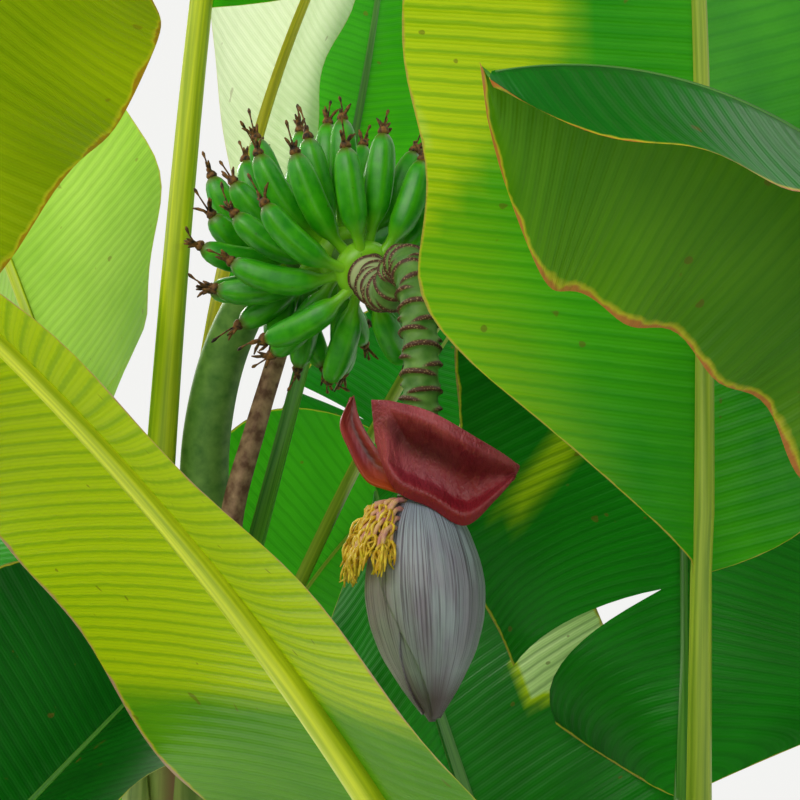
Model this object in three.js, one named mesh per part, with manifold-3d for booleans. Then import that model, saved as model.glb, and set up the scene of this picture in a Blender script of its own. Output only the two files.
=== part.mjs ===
// A fruiting banana plant: one clump from one rootstock, in millimetres, +Z up, with the ground at Z = 0.
// The bearing stem stands at the origin. Its bunch arches out towards -Y, and four younger stems lean away from it.
import * as THREE from "three";
import { mergeVertices } from "three/addons/utils/BufferGeometryUtils.js";
import Module from "manifold-3d";

const wasm = await Module();
wasm.setup();

// Real sizes that drive the plant.
const GAP = 0.3; // air between pieces that meet
const STEM_SIDES = 12;
const STEM_ROWS = 6;
const FLARE_HEIGHT = 170; // the foot's swelling fades out over this height
const COLUMNS = 6; // faces across a leaf
const STALK_ROWS = 2;
const BLADE_ROWS = 10;
const LEAF_THICKNESS_SHARE = 0.0105; // of the blade's length
const RIB_HALF = 15; // at the foot of the stalk
const RIB_TIP_HALF = 3;
const RIB_DEPTH_SHARE = 1.25; // how deep the rib is for its half width
const WAVE_HEIGHT = 9; // slow ripple along a blade's margins
const WAVE_COUNT = 5;

// Stems: the foot and crown in plan, the crown's height, the radius at the foot, at the crown and added by the flare,
// and how far the middle bows in plan.
const STEMS = {
  mother: { foot: [0, 0], crown: [0, 0], height: 1650, low: 112, high: 62, flare: 36, bow: [-26, 14] },
  front: { foot: [164, -182], crown: [480, -500], height: 1190, low: 84, high: 46, flare: 26, bow: [-30, 34] },
  right: { foot: [256, 24], crown: [880, -560], height: 1300, low: 88, high: 48, flare: 26, bow: [-34, 50] },
  back: { foot: [-83, 226], crown: [-190, 450], height: 1230, low: 80, high: 44, flare: 24, bow: [20, -10] },
  left: { foot: [-209, -128], crown: [-560, -440], height: 1120, low: 78, high: 42, flare: 24, bow: [30, 20] },
};

// The leaves by stem. `down` is how far the foot sits below the crown, on the flank that faces `face` (0 is +X, 90 is
// +Y; the same as `heading` where it is left out). The rib sets out towards `heading` at `rise` degrees, droops by
// `droop` degrees and turns sideways by `swing` degrees on its way to the tip. `stalk`, `blade` and `width` are
// lengths. `roll` turns the blade about its rib, `cup` lifts its left and right half, or lets it hang where it is
// negative. `open` is the share of the blade over which each half reaches its full width, and `close` the share where
// the end begins to round off. `stout` makes the stalk and rib so many times thicker.
const LEAVES = {
  mother_1: {
    stem: "mother", down: 70, face: 185, heading: -72, rise: 78, droop: 100,
    stalk: 820, blade: 1300, width: 520, stout: 1.4,
  },
  mother_2: {
    stem: "mother", down: 20, face: 135, heading: -37, rise: 84, droop: 54, swing: 49,
    stalk: 580, blade: 1000, width: 460,
  },
  mother_3: {
    stem: "mother", down: 40, face: 75, heading: 48, rise: 71, droop: -14, roll: 40,
    stalk: 500, blade: 800, width: 280,
  },
  mother_4: {
    stem: "mother", down: 150, heading: 34, rise: 50, droop: 85, swing: -6,
    stalk: 600, blade: 1350, width: 480,
  },
  mother_5: {
    stem: "mother", down: 50, heading: 155, rise: 69, droop: 30, swing: 16, roll: 40, cup: [31, 5],
    stalk: 120, blade: 1500, width: 560,
  },
  mother_6: {
    stem: "mother", down: 45, face: -10, heading: 7, rise: 66, droop: 98, swing: -4,
    stalk: 460, blade: 1400, width: 420,
  },
  mother_7: {
    stem: "mother", down: 150, heading: 190, rise: 50, droop: 100, swing: 10,
    stalk: 380, blade: 1350, width: 560,
  },
  front_1: {
    stem: "front", down: 40, heading: -69, rise: 85, droop: 47, swing: -50, roll: 40, cup: [14, 21],
    open: [0.09, 0.24], stalk: 530, blade: 1120, width: 500,
  },
  front_2: {
    stem: "front", down: 100, heading: 50, rise: 82, droop: 10, swing: 50, roll: -34, cup: [60, -25],
    open: [0.3, 0.1], stalk: 400, blade: 900, width: 490,
  },
  front_3: {
    stem: "front", down: 60, heading: 220, rise: 55, droop: 30, swing: -14, roll: 39, cup: [-57, 40],
    open: [0.06, 0.14], close: 0.8, stalk: 200, blade: 1040, width: 640, stout: 1.45,
  },
  front_4: {
    stem: "front", down: 60, heading: 128, rise: 57, droop: 4, swing: -20, roll: -40, cup: [-46, 10],
    open: [0.15, 0.12], close: 0.86, stalk: 260, blade: 600, width: 400,
  },
  front_5: {
    stem: "front", down: 190, heading: -82, rise: 45, droop: 90, cup: [-30, -30],
    stalk: 250, blade: 900, width: 380,
  },
  right_1: {
    stem: "right", down: 18, heading: 246.6, rise: 73.3, droop: 91, swing: -49.4, roll: 9.6, cup: [-52, -44],
    close: 0.78, stalk: 402, blade: 698, width: 348,
  },
  right_2: {
    stem: "right", down: 60, heading: 70, rise: 72, droop: 90,
    stalk: 320, blade: 1200, width: 500,
  },
  right_3: {
    stem: "right", down: 90, heading: -15, rise: 62, droop: 100,
    stalk: 320, blade: 1150, width: 500,
  },
  right_4: {
    stem: "right", down: 175, heading: 222, rise: 52, droop: 66, cup: [-15, -20],
    stalk: 240, blade: 462, width: 240,
  },
  back_1: {
    stem: "back", down: 90, heading: -24, rise: 74, droop: 37, swing: 13, roll: 58, cup: [36, 0],
    stalk: 100, blade: 800, width: 520,
  },
  back_2: {
    stem: "back", down: 60, heading: 142, rise: 68, droop: 95,
    stalk: 300, blade: 1200, width: 500,
  },
  back_3: {
    stem: "back", down: 120, heading: 27, rise: 70, droop: 16, roll: 60,
    stalk: 520, blade: 740, width: 340,
  },
  back_4: {
    stem: "back", down: 150, heading: 185, rise: 52, droop: 95,
    stalk: 280, blade: 1000, width: 440,
  },
  left_1: {
    stem: "left", down: 30, heading: -21, rise: 90, droop: 110, swing: -31, roll: -18, cup: [-10, 0],
    open: [0.1, 0.2], stalk: 396, blade: 1100, width: 373,
  },
  left_2: {
    stem: "left", down: 60, heading: 14, rise: 48, droop: 12, swing: 43, roll: 30, cup: [49, 38],
    open: [0.1, 0.15], stalk: 150, blade: 672, width: 476,
  },
  left_3: {
    stem: "left", down: 80, heading: 165, rise: 66, droop: 95,
    stalk: 300, blade: 1150, width: 500,
  },
  left_4: {
    stem: "left", down: 130, heading: 235, rise: 58, droop: 100,
    stalk: 280, blade: 1050, width: 460,
  },
};

// What a leaf has unless it says otherwise.
const PLAIN_LEAF = { swing: 0, roll: 0, cup: [5, 5], open: [0.1, 0.26], close: 0.66, stout: 1 };

// Colours of the parts.
const LEAF_GREEN = 0x4f9a12;
const STEM_GREEN = 0x8aa23c;
const FRUIT_GREEN = 0x3f9a1c;
const RACHIS_GREEN = 0x5f7f3a;
const BUD_PURPLE = 0x7d6f86;
const BRACT_RED = 0x8f1f2f;
const FLOWER_YELLOW = 0xd9b23a;
const DRY_BROWN = 0x8a6a45;

// Degrees to radians.
const rad = (degrees) => (degrees * Math.PI) / 180;

// 0 to 1 with soft ends.
const ease = (t) => {
  const k = Math.min(1, Math.max(0, t));
  return k * k * (3 - 2 * k);
};

// A closed three.js geometry as a solid.
function solidOf(geometry) {
  const bare = geometry.clone();
  bare.deleteAttribute("normal");
  bare.deleteAttribute("uv");
  const merged = mergeVertices(bare, 1e-3);
  return new wasm.Manifold(
    new wasm.Mesh({
      numProp: 3,
      vertProperties: merged.getAttribute("position").array,
      triVerts: new Uint32Array(merged.index.array),
    }),
  );
}

// A solid as a three.js geometry.
function geometryOf(solid) {
  const { vertProperties, triVerts } = solid.getMesh();
  const geometry = new THREE.BufferGeometry();
  geometry.setAttribute("position", new THREE.BufferAttribute(vertProperties, 3));
  geometry.setIndex(new THREE.BufferAttribute(triVerts, 1));
  return geometry;
}

// A box of columns by rows faces, two faces deep, each corner put where place(column, row, onTop) says.
function shapedSlab(columns, rows, place) {
  const slab = new THREE.BoxGeometry(columns, rows, 1, columns, rows, 1);
  const corner = slab.getAttribute("position");
  for (let i = 0; i < corner.count; i++) {
    const column = Math.round(corner.getX(i) + columns / 2);
    const row = Math.round(corner.getY(i) + rows / 2);
    const at = place(column, row, corner.getZ(i) > 0);
    corner.setXYZ(i, at.x, at.y, at.z);
  }
  // The back is split along the same diagonals as the front, so that a thin twisted slab doesn't cut itself.
  const split = slab.index.array;
  const back = slab.groups[5];
  for (let i = back.start; i < back.start + back.count; i += 6) {
    const [a, b, d, , c] = split.slice(i, i + 6);
    split.set([a, b, c, a, c, d], i);
  }
  return slab;
}

// A tube round the points, with closed ends. radii holds one radius, or [across, deep], for each point.
function sweep(points, radii, sides, firstSide = new THREE.Vector3(1, 0, 0), level = false) {
  const rows = points.length - 1;
  const frames = [];
  let across = firstSide.clone();
  points.forEach((point, i) => {
    const before = points[Math.max(0, i - 1)];
    const after = points[Math.min(rows, i + 1)];
    const along = level ? new THREE.Vector3(0, 0, 1) : after.clone().sub(before).normalize();
    across = across.clone().addScaledVector(along, -across.dot(along)).normalize();
    frames.push({ across, deep: across.clone().cross(along) });
  });
  const tube = new THREE.CylinderGeometry(1, 1, 1, sides, rows);
  const corner = tube.getAttribute("position");
  for (let i = 0; i < corner.count; i++) {
    const row = Math.round((corner.getY(i) + 0.5) * rows);
    const [wide, tall] = Array.isArray(radii[row]) ? radii[row] : [radii[row], radii[row]];
    const at = points[row]
      .clone()
      .addScaledVector(frames[row].across, corner.getX(i) * wide)
      .addScaledVector(frames[row].deep, corner.getZ(i) * tall);
    corner.setXYZ(i, at.x, at.y, at.z);
  }
  return tube;
}

// Where a stem's centre line is at share k of its height.
function stemCentre(stem, k) {
  const bow = Math.sin(Math.PI * k);
  return new THREE.Vector3(
    THREE.MathUtils.lerp(stem.foot[0], stem.crown[0], k) + stem.bow[0] * bow,
    THREE.MathUtils.lerp(stem.foot[1], stem.crown[1], k) + stem.bow[1] * bow,
    stem.height * k,
  );
}

// A stem's radius at share k of its height: an even taper, and a flare at the foot.
function stemRadius(stem, k) {
  const flare = stem.flare * Math.max(0, 1 - (stem.height * k) / FLARE_HEIGHT) ** 2;
  return THREE.MathUtils.lerp(stem.low, stem.high, k) + flare;
}

// A stem of tightly rolled leaf sheaths, with level cuts at the ground and at the crown. extra swells it for cutting.
function stemSolid(stem, extra = 0) {
  const shares = [];
  for (let i = 0; i <= STEM_ROWS; i++) shares.push((i / STEM_ROWS) ** 1.5);
  const points = shares.map((k) => stemCentre(stem, k));
  points[0].z -= extra;
  points[STEM_ROWS].z += extra;
  const radii = shares.map((k) => stemRadius(stem, k) + extra);
  return solidOf(sweep(points, radii, STEM_SIDES, new THREE.Vector3(1, 0, 0), true));
}

// The rib's centre line from the stem to the tip, with the blade's frame at each row.
function leafRows(leaf) {
  const stem = STEMS[leaf.stem];
  const k = 1 - leaf.down / stem.height;
  const start = stemCentre(stem, k);
  const face = rad(leaf.face ?? leaf.heading);
  const out = new THREE.Vector3(Math.cos(face), Math.sin(face), 0);
  start.addScaledVector(out, stemRadius(stem, k) - 4);
  const length = leaf.stalk + leaf.blade;
  const shares = [];
  for (let i = 0; i < STALK_ROWS; i++) shares.push((i / STALK_ROWS) * (leaf.stalk / length));
  for (let i = 0; i <= BLADE_ROWS; i++) {
    const t = 0.5 - 0.5 * Math.cos((Math.PI * i) / BLADE_ROWS);
    shares.push((leaf.stalk + leaf.blade * THREE.MathUtils.lerp(i / BLADE_ROWS, t, 0.6)) / length);
  }
  const steps = 120; // fine steps, so that the line's length is true
  const at = start.clone();
  let walked = 0;
  return shares.map((share) => {
    while (walked < share * length - 1e-6) {
      const step = Math.min(length / steps, share * length - walked);
      at.addScaledVector(leafFrame(leaf, (walked + step / 2) / length).along, step);
      walked += step;
    }
    const t = (share * length - leaf.stalk) / leaf.blade;
    return { t, at: at.clone(), ...leafFrame(leaf, share), ...leafSection(leaf, share, t) };
  });
}

// The blade's directions at a share of the leaf's whole length: along the rib, to its right side, and out of its top.
function leafFrame(leaf, share) {
  const rise = rad(leaf.rise - leaf.droop * share ** 2);
  const heading = rad(leaf.heading + leaf.swing * share);
  const along = new THREE.Vector3(
    Math.cos(rise) * Math.cos(heading),
    Math.cos(rise) * Math.sin(heading),
    Math.sin(rise),
  );
  const side = new THREE.Vector3(Math.sin(heading), -Math.cos(heading), 0);
  side.applyAxisAngle(along, rad(leaf.roll) * ease(share * 2.5));
  return { along, side, top: side.clone().cross(along) };
}

// Half widths and rib sizes at a row. The blade starts tapered on its left side and rounded on its right.
function leafSection(leaf, share, t) {
  const ribHalf = leaf.stout * THREE.MathUtils.lerp(RIB_HALF, RIB_TIP_HALF, share ** 0.8);
  const past = Math.max(0, (t - leaf.close) / (1 - leaf.close));
  const end = Math.sqrt(Math.max(0, 1 - past ** 2.3));
  const opening = (share, power) => Math.sin((Math.PI / 2) * Math.min(1, Math.max(0, share))) ** power;
  const half = leaf.width / 2;
  return {
    ribHalf,
    ribDepth: ribHalf * RIB_DEPTH_SHARE,
    left: Math.max(ribHalf, half * end * opening(t / leaf.open[0], 0.7)),
    right: Math.max(ribHalf, half * end * opening(t / leaf.open[1], 1.1)),
  };
}

// A leaf: a channelled stalk that runs on as the rib under a thin blade.
function leafSolid(leaf, cutters) {
  const rows = leafRows(leaf);
  const thickness = leaf.blade * LEAF_THICKNESS_SHARE;
  const slab = shapedSlab(COLUMNS, rows.length - 1, (column, row, onTop) => {
    const r = rows[row];
    const sign = Math.sign(column - COLUMNS / 2);
    const reach = sign < 0 ? r.left : r.right;
    const inner = r.ribHalf * 0.6;
    const across = [0, inner, (inner + reach) * 0.52, reach][Math.abs(column - COLUMNS / 2)];
    const open = ease(r.t * 6);
    const cup = rad(leaf.cup[sign < 0 ? 0 : 1]) * open;
    const hang = Math.sin(cup) * Math.max(0, across - r.ribHalf);
    const wave = WAVE_HEIGHT * Math.sin(r.t * WAVE_COUNT * 2 * Math.PI + sign) * (across / reach) ** 2 * open;
    const inRib = Math.sqrt(Math.max(0, 1 - (across / r.ribHalf) ** 2));
    const height = onTop
      ? thickness / 2 - r.ribDepth * 0.25 * inRib
      : -thickness / 2 - r.ribDepth * inRib;
    // The blade is as thick where it slopes, except at the rib and at the narrow tip.
    const tilt = across > inner ? cup * Math.min(1, across / (4 * thickness)) : 0;
    return r.at
      .clone()
      .addScaledVector(r.side, sign * (across * Math.cos(cup) - height * Math.sin(tilt)))
      .addScaledVector(r.top, hang + wave + height * Math.cos(tilt));
  });
  return cutters.reduce((left, cutter) => left.subtract(cutter), solidOf(slab));
}

// The line of the bunch stalk: up out of the crown, over in an arch, and down again below the last hand.
const STALK_LINE = new THREE.CatmullRomCurve3(
  [
    [0, 0, 1640], [4, -22, 1780], [9, -58, 1900], [34, -95, 1995], [80, -148, 2062], [138, -212, 2082],
    [188, -300, 2040], [226, -399, 1978], [240, -452, 1992], [250, -490, 1965], [256, -504, 1902],
    [256, -500, 1835], [254, -493, 1756],
  ].map((at) => new THREE.Vector3(...at)),
);
const STALK_FOOT_RADIUS = 33;
const STALK_END_RADIUS = 20; // at the last hand
const LAST_HAND_AT = 0.645; // share of the line
const STALK_ROWS_BEFORE = 14;
const RACHIS_RADIUS = 16;
const SCAR_PITCH = 19; // the ledges left by fallen bracts
const SCAR_HEIGHT = 3.5;
const STALK_SIDES = 7;

const lineLength = STALK_LINE.getLength();

// A piece of the stalk between two shares of its line; radiusAt gives its radius at a share of the piece. extra swells
// it on all sides, for cutting.
function stalkPiece(from, to, rows, extra, radiusAt) {
  const points = [];
  const radii = [];
  for (let i = 0; i <= rows; i++) {
    points.push(STALK_LINE.getPointAt(THREE.MathUtils.lerp(from, to, i / rows)));
    radii.push(radiusAt(i / rows) + extra);
  }
  points[0].addScaledVector(STALK_LINE.getTangentAt(from), -extra);
  points[rows].addScaledVector(STALK_LINE.getTangentAt(to), extra);
  return solidOf(sweep(points, radii, STALK_SIDES));
}

// The smooth stalk that carries the hands.
function bunchStalkSolid(extra = 0) {
  const radiusAt = (k) => THREE.MathUtils.lerp(STALK_FOOT_RADIUS, STALK_END_RADIUS, k);
  return stalkPiece(0, LAST_HAND_AT, STALK_ROWS_BEFORE, extra, radiusAt);
}

// The bare end of the stalk, ringed with scars.
function rachisSolid(extra = 0) {
  const scars = Math.round(((1 - LAST_HAND_AT) * lineLength) / SCAR_PITCH);
  const rows = scars * 2;
  return stalkPiece(LAST_HAND_AT, 1, rows, extra, (k) => {
    const ledge = Math.round(k * rows) % 2 ? SCAR_HEIGHT : 0;
    return THREE.MathUtils.lerp(STALK_END_RADIUS, RACHIS_RADIUS, Math.min(1, k * 3)) + ledge;
  });
}

// Hands of fruit: the share of the line each sits at, its fruit's length and count, and the first fruit's turn.
const HANDS = [
  { at: 0.462, length: 112, count: 12, turn: -165 },
  { at: 0.52, length: 120, count: 12, turn: -178 },
  { at: 0.578, length: 126, count: 12, turn: -166 },
  { at: 0.634, length: 124, count: 12, turn: -180 },
];
const HAND_ARC = 326; // degrees round the stalk
const FRUIT_SIDES = 5;
const FRUIT_RADIUS = 16;
// Radius of a fruit against its body's radius, from the foot of its own short stalk to the blunt end.
const FRUIT_PROFILE = [0.45, 0.42, 1, 1, 0.45];
const FRUIT_SHARES = [0, 0.22, 0.42, 0.82, 1];
const FRUIT_STEPS = 50;
const FRUIT_LIFT = 0.95; // how strongly the fruit turns upward
const FRUIT_LEAN = 0.06; // and leans back along the stalk
const ROW_STEP = 7; // the fruit of a hand sit in two rows this far either side of its middle
const CUSHION_HALF = 14; // the pad that joins a hand's fruit to the stalk
const CUSHION_RADIUS = 31;

// One curved fruit from a point on the stalk. It sets out away from the stalk and turns upward, which those that hang
// under the stalk hardly do.
function fruitSolid(foot, outward, axis, length, extra) {
  const points = [];
  const at = foot.clone();
  const lift = FRUIT_LIFT * (1 + 0.8 * outward.z);
  for (let i = 0; i <= FRUIT_STEPS; i++) {
    const k = i / FRUIT_STEPS;
    if (k >= FRUIT_SHARES[points.length] - 1e-6) points.push(at.clone());
    const along = outward.clone().multiplyScalar(1 - 0.3 * k);
    along.z += lift * k;
    along.addScaledVector(axis, -FRUIT_LEAN * k).normalize();
    at.addScaledVector(along, length / FRUIT_STEPS);
  }
  const radii = FRUIT_PROFILE.map((share) => share * FRUIT_RADIUS + extra);
  return solidOf(sweep(points, radii, FRUIT_SIDES, axis));
}

// A hand: fruit side by side round the stalk, joined at their feet by a cushion. extra swells it for cutting.
function handSolid(hand, extra = 0) {
  const centre = STALK_LINE.getPointAt(hand.at);
  const axis = STALK_LINE.getTangentAt(hand.at);
  const up = new THREE.Vector3(0, 0, 1).addScaledVector(axis, -axis.z).normalize();
  const ring = [-CUSHION_HALF, CUSHION_HALF].map((along) => centre.clone().addScaledVector(axis, along));
  let solid = solidOf(sweep(ring, [CUSHION_RADIUS, CUSHION_RADIUS], STALK_SIDES + 2));
  for (let i = 0; i < hand.count; i++) {
    const outward = up.clone().applyAxisAngle(axis, rad(hand.turn + (HAND_ARC * i) / (hand.count - 1)));
    const foot = centre.clone().addScaledVector(outward, STALK_END_RADIUS - 2);
    foot.addScaledVector(axis, i % 2 ? ROW_STEP : -ROW_STEP);
    solid = solid.add(fruitSolid(foot, outward, axis, hand.length * (i % 2 ? 0.92 : 1) + extra, extra));
  }
  return solid;
}

// The male bud: closed purple bracts wrapped into a drop that hangs from the end of the stalk.
const BUD_TOP = new THREE.Vector3(254, -493, 1756);
const BUD_TIP = new THREE.Vector3(266, -482, 1554);
const BUD_PROFILE = [
  [0, 15], [0.05, 27], [0.14, 40], [0.3, 50], [0.42, 53], [0.56, 50], [0.7, 41], [0.86, 23], [1, 4],
];
const BUD_SIDES = 14;

function budSolid(extra = 0) {
  const points = BUD_PROFILE.map(([k]) => BUD_TOP.clone().lerp(BUD_TIP, k));
  const radii = BUD_PROFILE.map(([, radius]) => radius + extra);
  return solidOf(sweep(points, radii, BUD_SIDES));
}

// A lifted bract: a cupped shell between its lower and upper edge, each a curve through points measured from the
// bracts' foot (to the right, towards the front, up).
const BRACT_FOOT = new THREE.Vector3(260, -492, 1756);

function bractSolid({ lower, upper, hollow, thickness }) {
  const edge = (points) => new THREE.CatmullRomCurve3(points.map(([x, y, z]) => new THREE.Vector3(x, -y, z)));
  const [low, high] = [edge(lower), edge(upper)];
  return solidOf(
    shapedSlab(6, 7, (column, row, onTop) => {
      const k = column / 6;
      const at = low.getPoint(row / 7).lerp(high.getPoint(row / 7), k);
      const depth = hollow * Math.sin(Math.PI * k) * Math.sin((Math.PI * (row + 1.5)) / 9);
      at.y += depth + (onTop ? -thickness / 2 : thickness / 2);
      return at.add(BRACT_FOOT);
    }),
  );
}

const BRACTS = {
  bract_lifted: {
    lower: [[80, 42, 12], [62, 44, -9], [35, 34, -31], [4, 30, -14], [-27, 30, 2], [-45, 30, 48]],
    upper: [[85, 42, 22], [72, 48, 30], [48, 58, 43], [4, 60, 68], [-25, 52, 78], [-49, 42, 83]],
    hollow: 20,
    thickness: 5,
  },
  bract_folded: {
    lower: [[-20, 24, 0], [-34, 30, 3], [-52, 30, 10], [-70, 24, 42], [-78, 18, 66], [-68, 12, 92]],
    upper: [[-18, 14, 14], [-30, 20, 26], [-44, 22, 42], [-56, 18, 62], [-62, 12, 78], [-66, 9, 94]],
    hollow: 8,
    thickness: 5,
  },
};

// A row of male flowers on the shoulder of the bud, under the lifted bracts.
const FLOWER_COUNT = 5;
const FLOWER_LENGTH = 44;

function flowersSolid() {
  let solid = null;
  for (let row = 0; row < 2; row++) {
    for (let i = 0; i < FLOWER_COUNT; i++) {
      const turn = rad(150 + (88 * (i + row / 2)) / FLOWER_COUNT);
      const outward = new THREE.Vector3(Math.cos(turn), Math.sin(turn), 0);
      const foot = BUD_TOP.clone().addScaledVector(outward, 20 + 12 * row);
      foot.z += -9 - 18 * row;
      const points = [0, 0.3, 0.65, 1].map((k) => {
        const at = foot.clone().addScaledVector(outward, FLOWER_LENGTH * Math.sin(k * 1.25) * 0.9);
        at.z += 8 * k - 56 * k * k;
        return at;
      });
      const flower = solidOf(sweep(points, [6.5, 9, 7, 3], 4, new THREE.Vector3(0, 0, 1)));
      solid = solid ? solid.add(flower) : flower;
    }
  }
  return solid;
}

// The bare brown stalk of a leaf that has dried and dropped.
const DRY_STALK = new THREE.CatmullRomCurve3(
  [
    [30, -50, 1560], [36, -74, 1690], [43, -84, 1799], [70, -96, 1900], [97, -104, 1992],
  ].map((at) => new THREE.Vector3(...at)),
);

function dryStalkSolid() {
  const points = DRY_STALK.getPoints(6);
  return solidOf(sweep(points, points.map((_, i) => 15 - i * 0.7), 7));
}

const plant = new THREE.Group();
plant.name = "banana_plant";

// Adds one solid to the plant as a named mesh.
function addPart(name, solid, color, roughness = 0.6) {
  const mesh = new THREE.Mesh(geometryOf(solid), new THREE.MeshStandardMaterial({ color, roughness, metalness: 0 }));
  mesh.name = name;
  plant.add(mesh);
}

const cutters = {};
for (const [name, stem] of Object.entries(STEMS)) {
  cutters[name] = stemSolid(stem, GAP);
  const solid = stemSolid(stem);
  addPart(`stem_${name}`, name === "mother" ? solid : solid.subtract(cutters.mother), STEM_GREEN);
}
for (const [name, sizes] of Object.entries(LEAVES)) {
  const leaf = { ...PLAIN_LEAF, ...sizes };
  addPart(`leaf_${name}`, leafSolid(leaf, [cutters[leaf.stem]]), LEAF_GREEN);
}

const bunchCutter = bunchStalkSolid(GAP);
const rachisCutter = rachisSolid(GAP);
const budCutter = budSolid(GAP);
addPart("bunch_stalk", bunchStalkSolid().subtract(cutters.mother), STEM_GREEN);
addPart("rachis", rachisSolid().subtract(bunchCutter), RACHIS_GREEN);
HANDS.forEach((hand, i) => {
  const handCutters = HANDS.slice(0, i).map((before) => handSolid(before, GAP));
  const solid = handSolid(hand).subtract(bunchCutter).subtract(rachisCutter);
  addPart(`hand_${i + 1}`, handCutters.reduce((left, cutter) => left.subtract(cutter), solid), FRUIT_GREEN, 0.5);
});
addPart("male_bud", budSolid().subtract(rachisCutter), BUD_PURPLE);
for (const [name, bract] of Object.entries(BRACTS)) {
  addPart(name, bractSolid(bract).subtract(budCutter).subtract(rachisCutter), BRACT_RED);
}
addPart("male_flowers", flowersSolid().subtract(budCutter), FLOWER_YELLOW);
addPart("dry_stalk", dryStalkSolid().subtract(cutters.mother), DRY_BROWN);

export default plant;
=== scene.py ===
"""A fruiting banana plant: a clump of sheathed stems with broad leaves, a bunch of green fruit on an arched
stalk, and the purple male bud under it. The leaves, stalks and fruit follow the same growing rules as the
solids."""

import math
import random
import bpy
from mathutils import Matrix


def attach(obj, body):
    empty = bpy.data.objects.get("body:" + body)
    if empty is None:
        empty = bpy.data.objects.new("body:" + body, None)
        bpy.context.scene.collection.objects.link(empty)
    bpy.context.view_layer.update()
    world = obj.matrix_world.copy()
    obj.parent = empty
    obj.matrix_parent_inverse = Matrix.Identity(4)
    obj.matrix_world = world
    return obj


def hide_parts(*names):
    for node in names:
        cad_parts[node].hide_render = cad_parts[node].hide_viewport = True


bl_info = {
    "name": "Banana Plant",
    "version": (1, 0, 0),
    "blender": (4, 5, 0),
    "location": "View3D > Sidebar > Banana Plant",
    "description": "Grows the looks of a fruiting banana plant around its solid model",
    "category": "Object",
}

import bpy
import numpy as np
from bpy.props import FloatProperty, FloatVectorProperty, IntProperty, PointerProperty

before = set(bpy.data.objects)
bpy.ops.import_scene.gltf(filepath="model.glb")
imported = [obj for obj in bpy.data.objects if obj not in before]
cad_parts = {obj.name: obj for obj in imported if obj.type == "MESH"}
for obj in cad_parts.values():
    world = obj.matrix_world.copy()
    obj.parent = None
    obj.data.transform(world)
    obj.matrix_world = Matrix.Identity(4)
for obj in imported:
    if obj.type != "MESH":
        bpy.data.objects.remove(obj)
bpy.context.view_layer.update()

MM = 0.001

# Stems, in millimetres: foot and crown in plan, height, radius low down, at the crown and added by the foot's
# flare, and the middle's bow in plan.
STEMS = {
    "mother": dict(foot=(0, 0), crown=(0, 0), height=1650, low=112, high=62, flare=36, bow=(-26, 14)),
    "front": dict(foot=(164, -182), crown=(480, -500), height=1190, low=84, high=46, flare=26, bow=(-30, 34)),
    "right": dict(foot=(256, 24), crown=(880, -560), height=1300, low=88, high=48, flare=26, bow=(-34, 50)),
    "back": dict(foot=(-83, 226), crown=(-190, 450), height=1230, low=80, high=44, flare=24, bow=(20, -10)),
    "left": dict(foot=(-209, -128), crown=(-560, -440), height=1120, low=78, high=42, flare=24, bow=(30, 20)),
}
FLARE_HEIGHT = 170
# The blunt point over each crown: height in millimetres, and radius as a share of the crown's.
CROWN_POINT = [(12, 0.9), (30, 0.66), (48, 0.4), (60, 0.16)]

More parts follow.
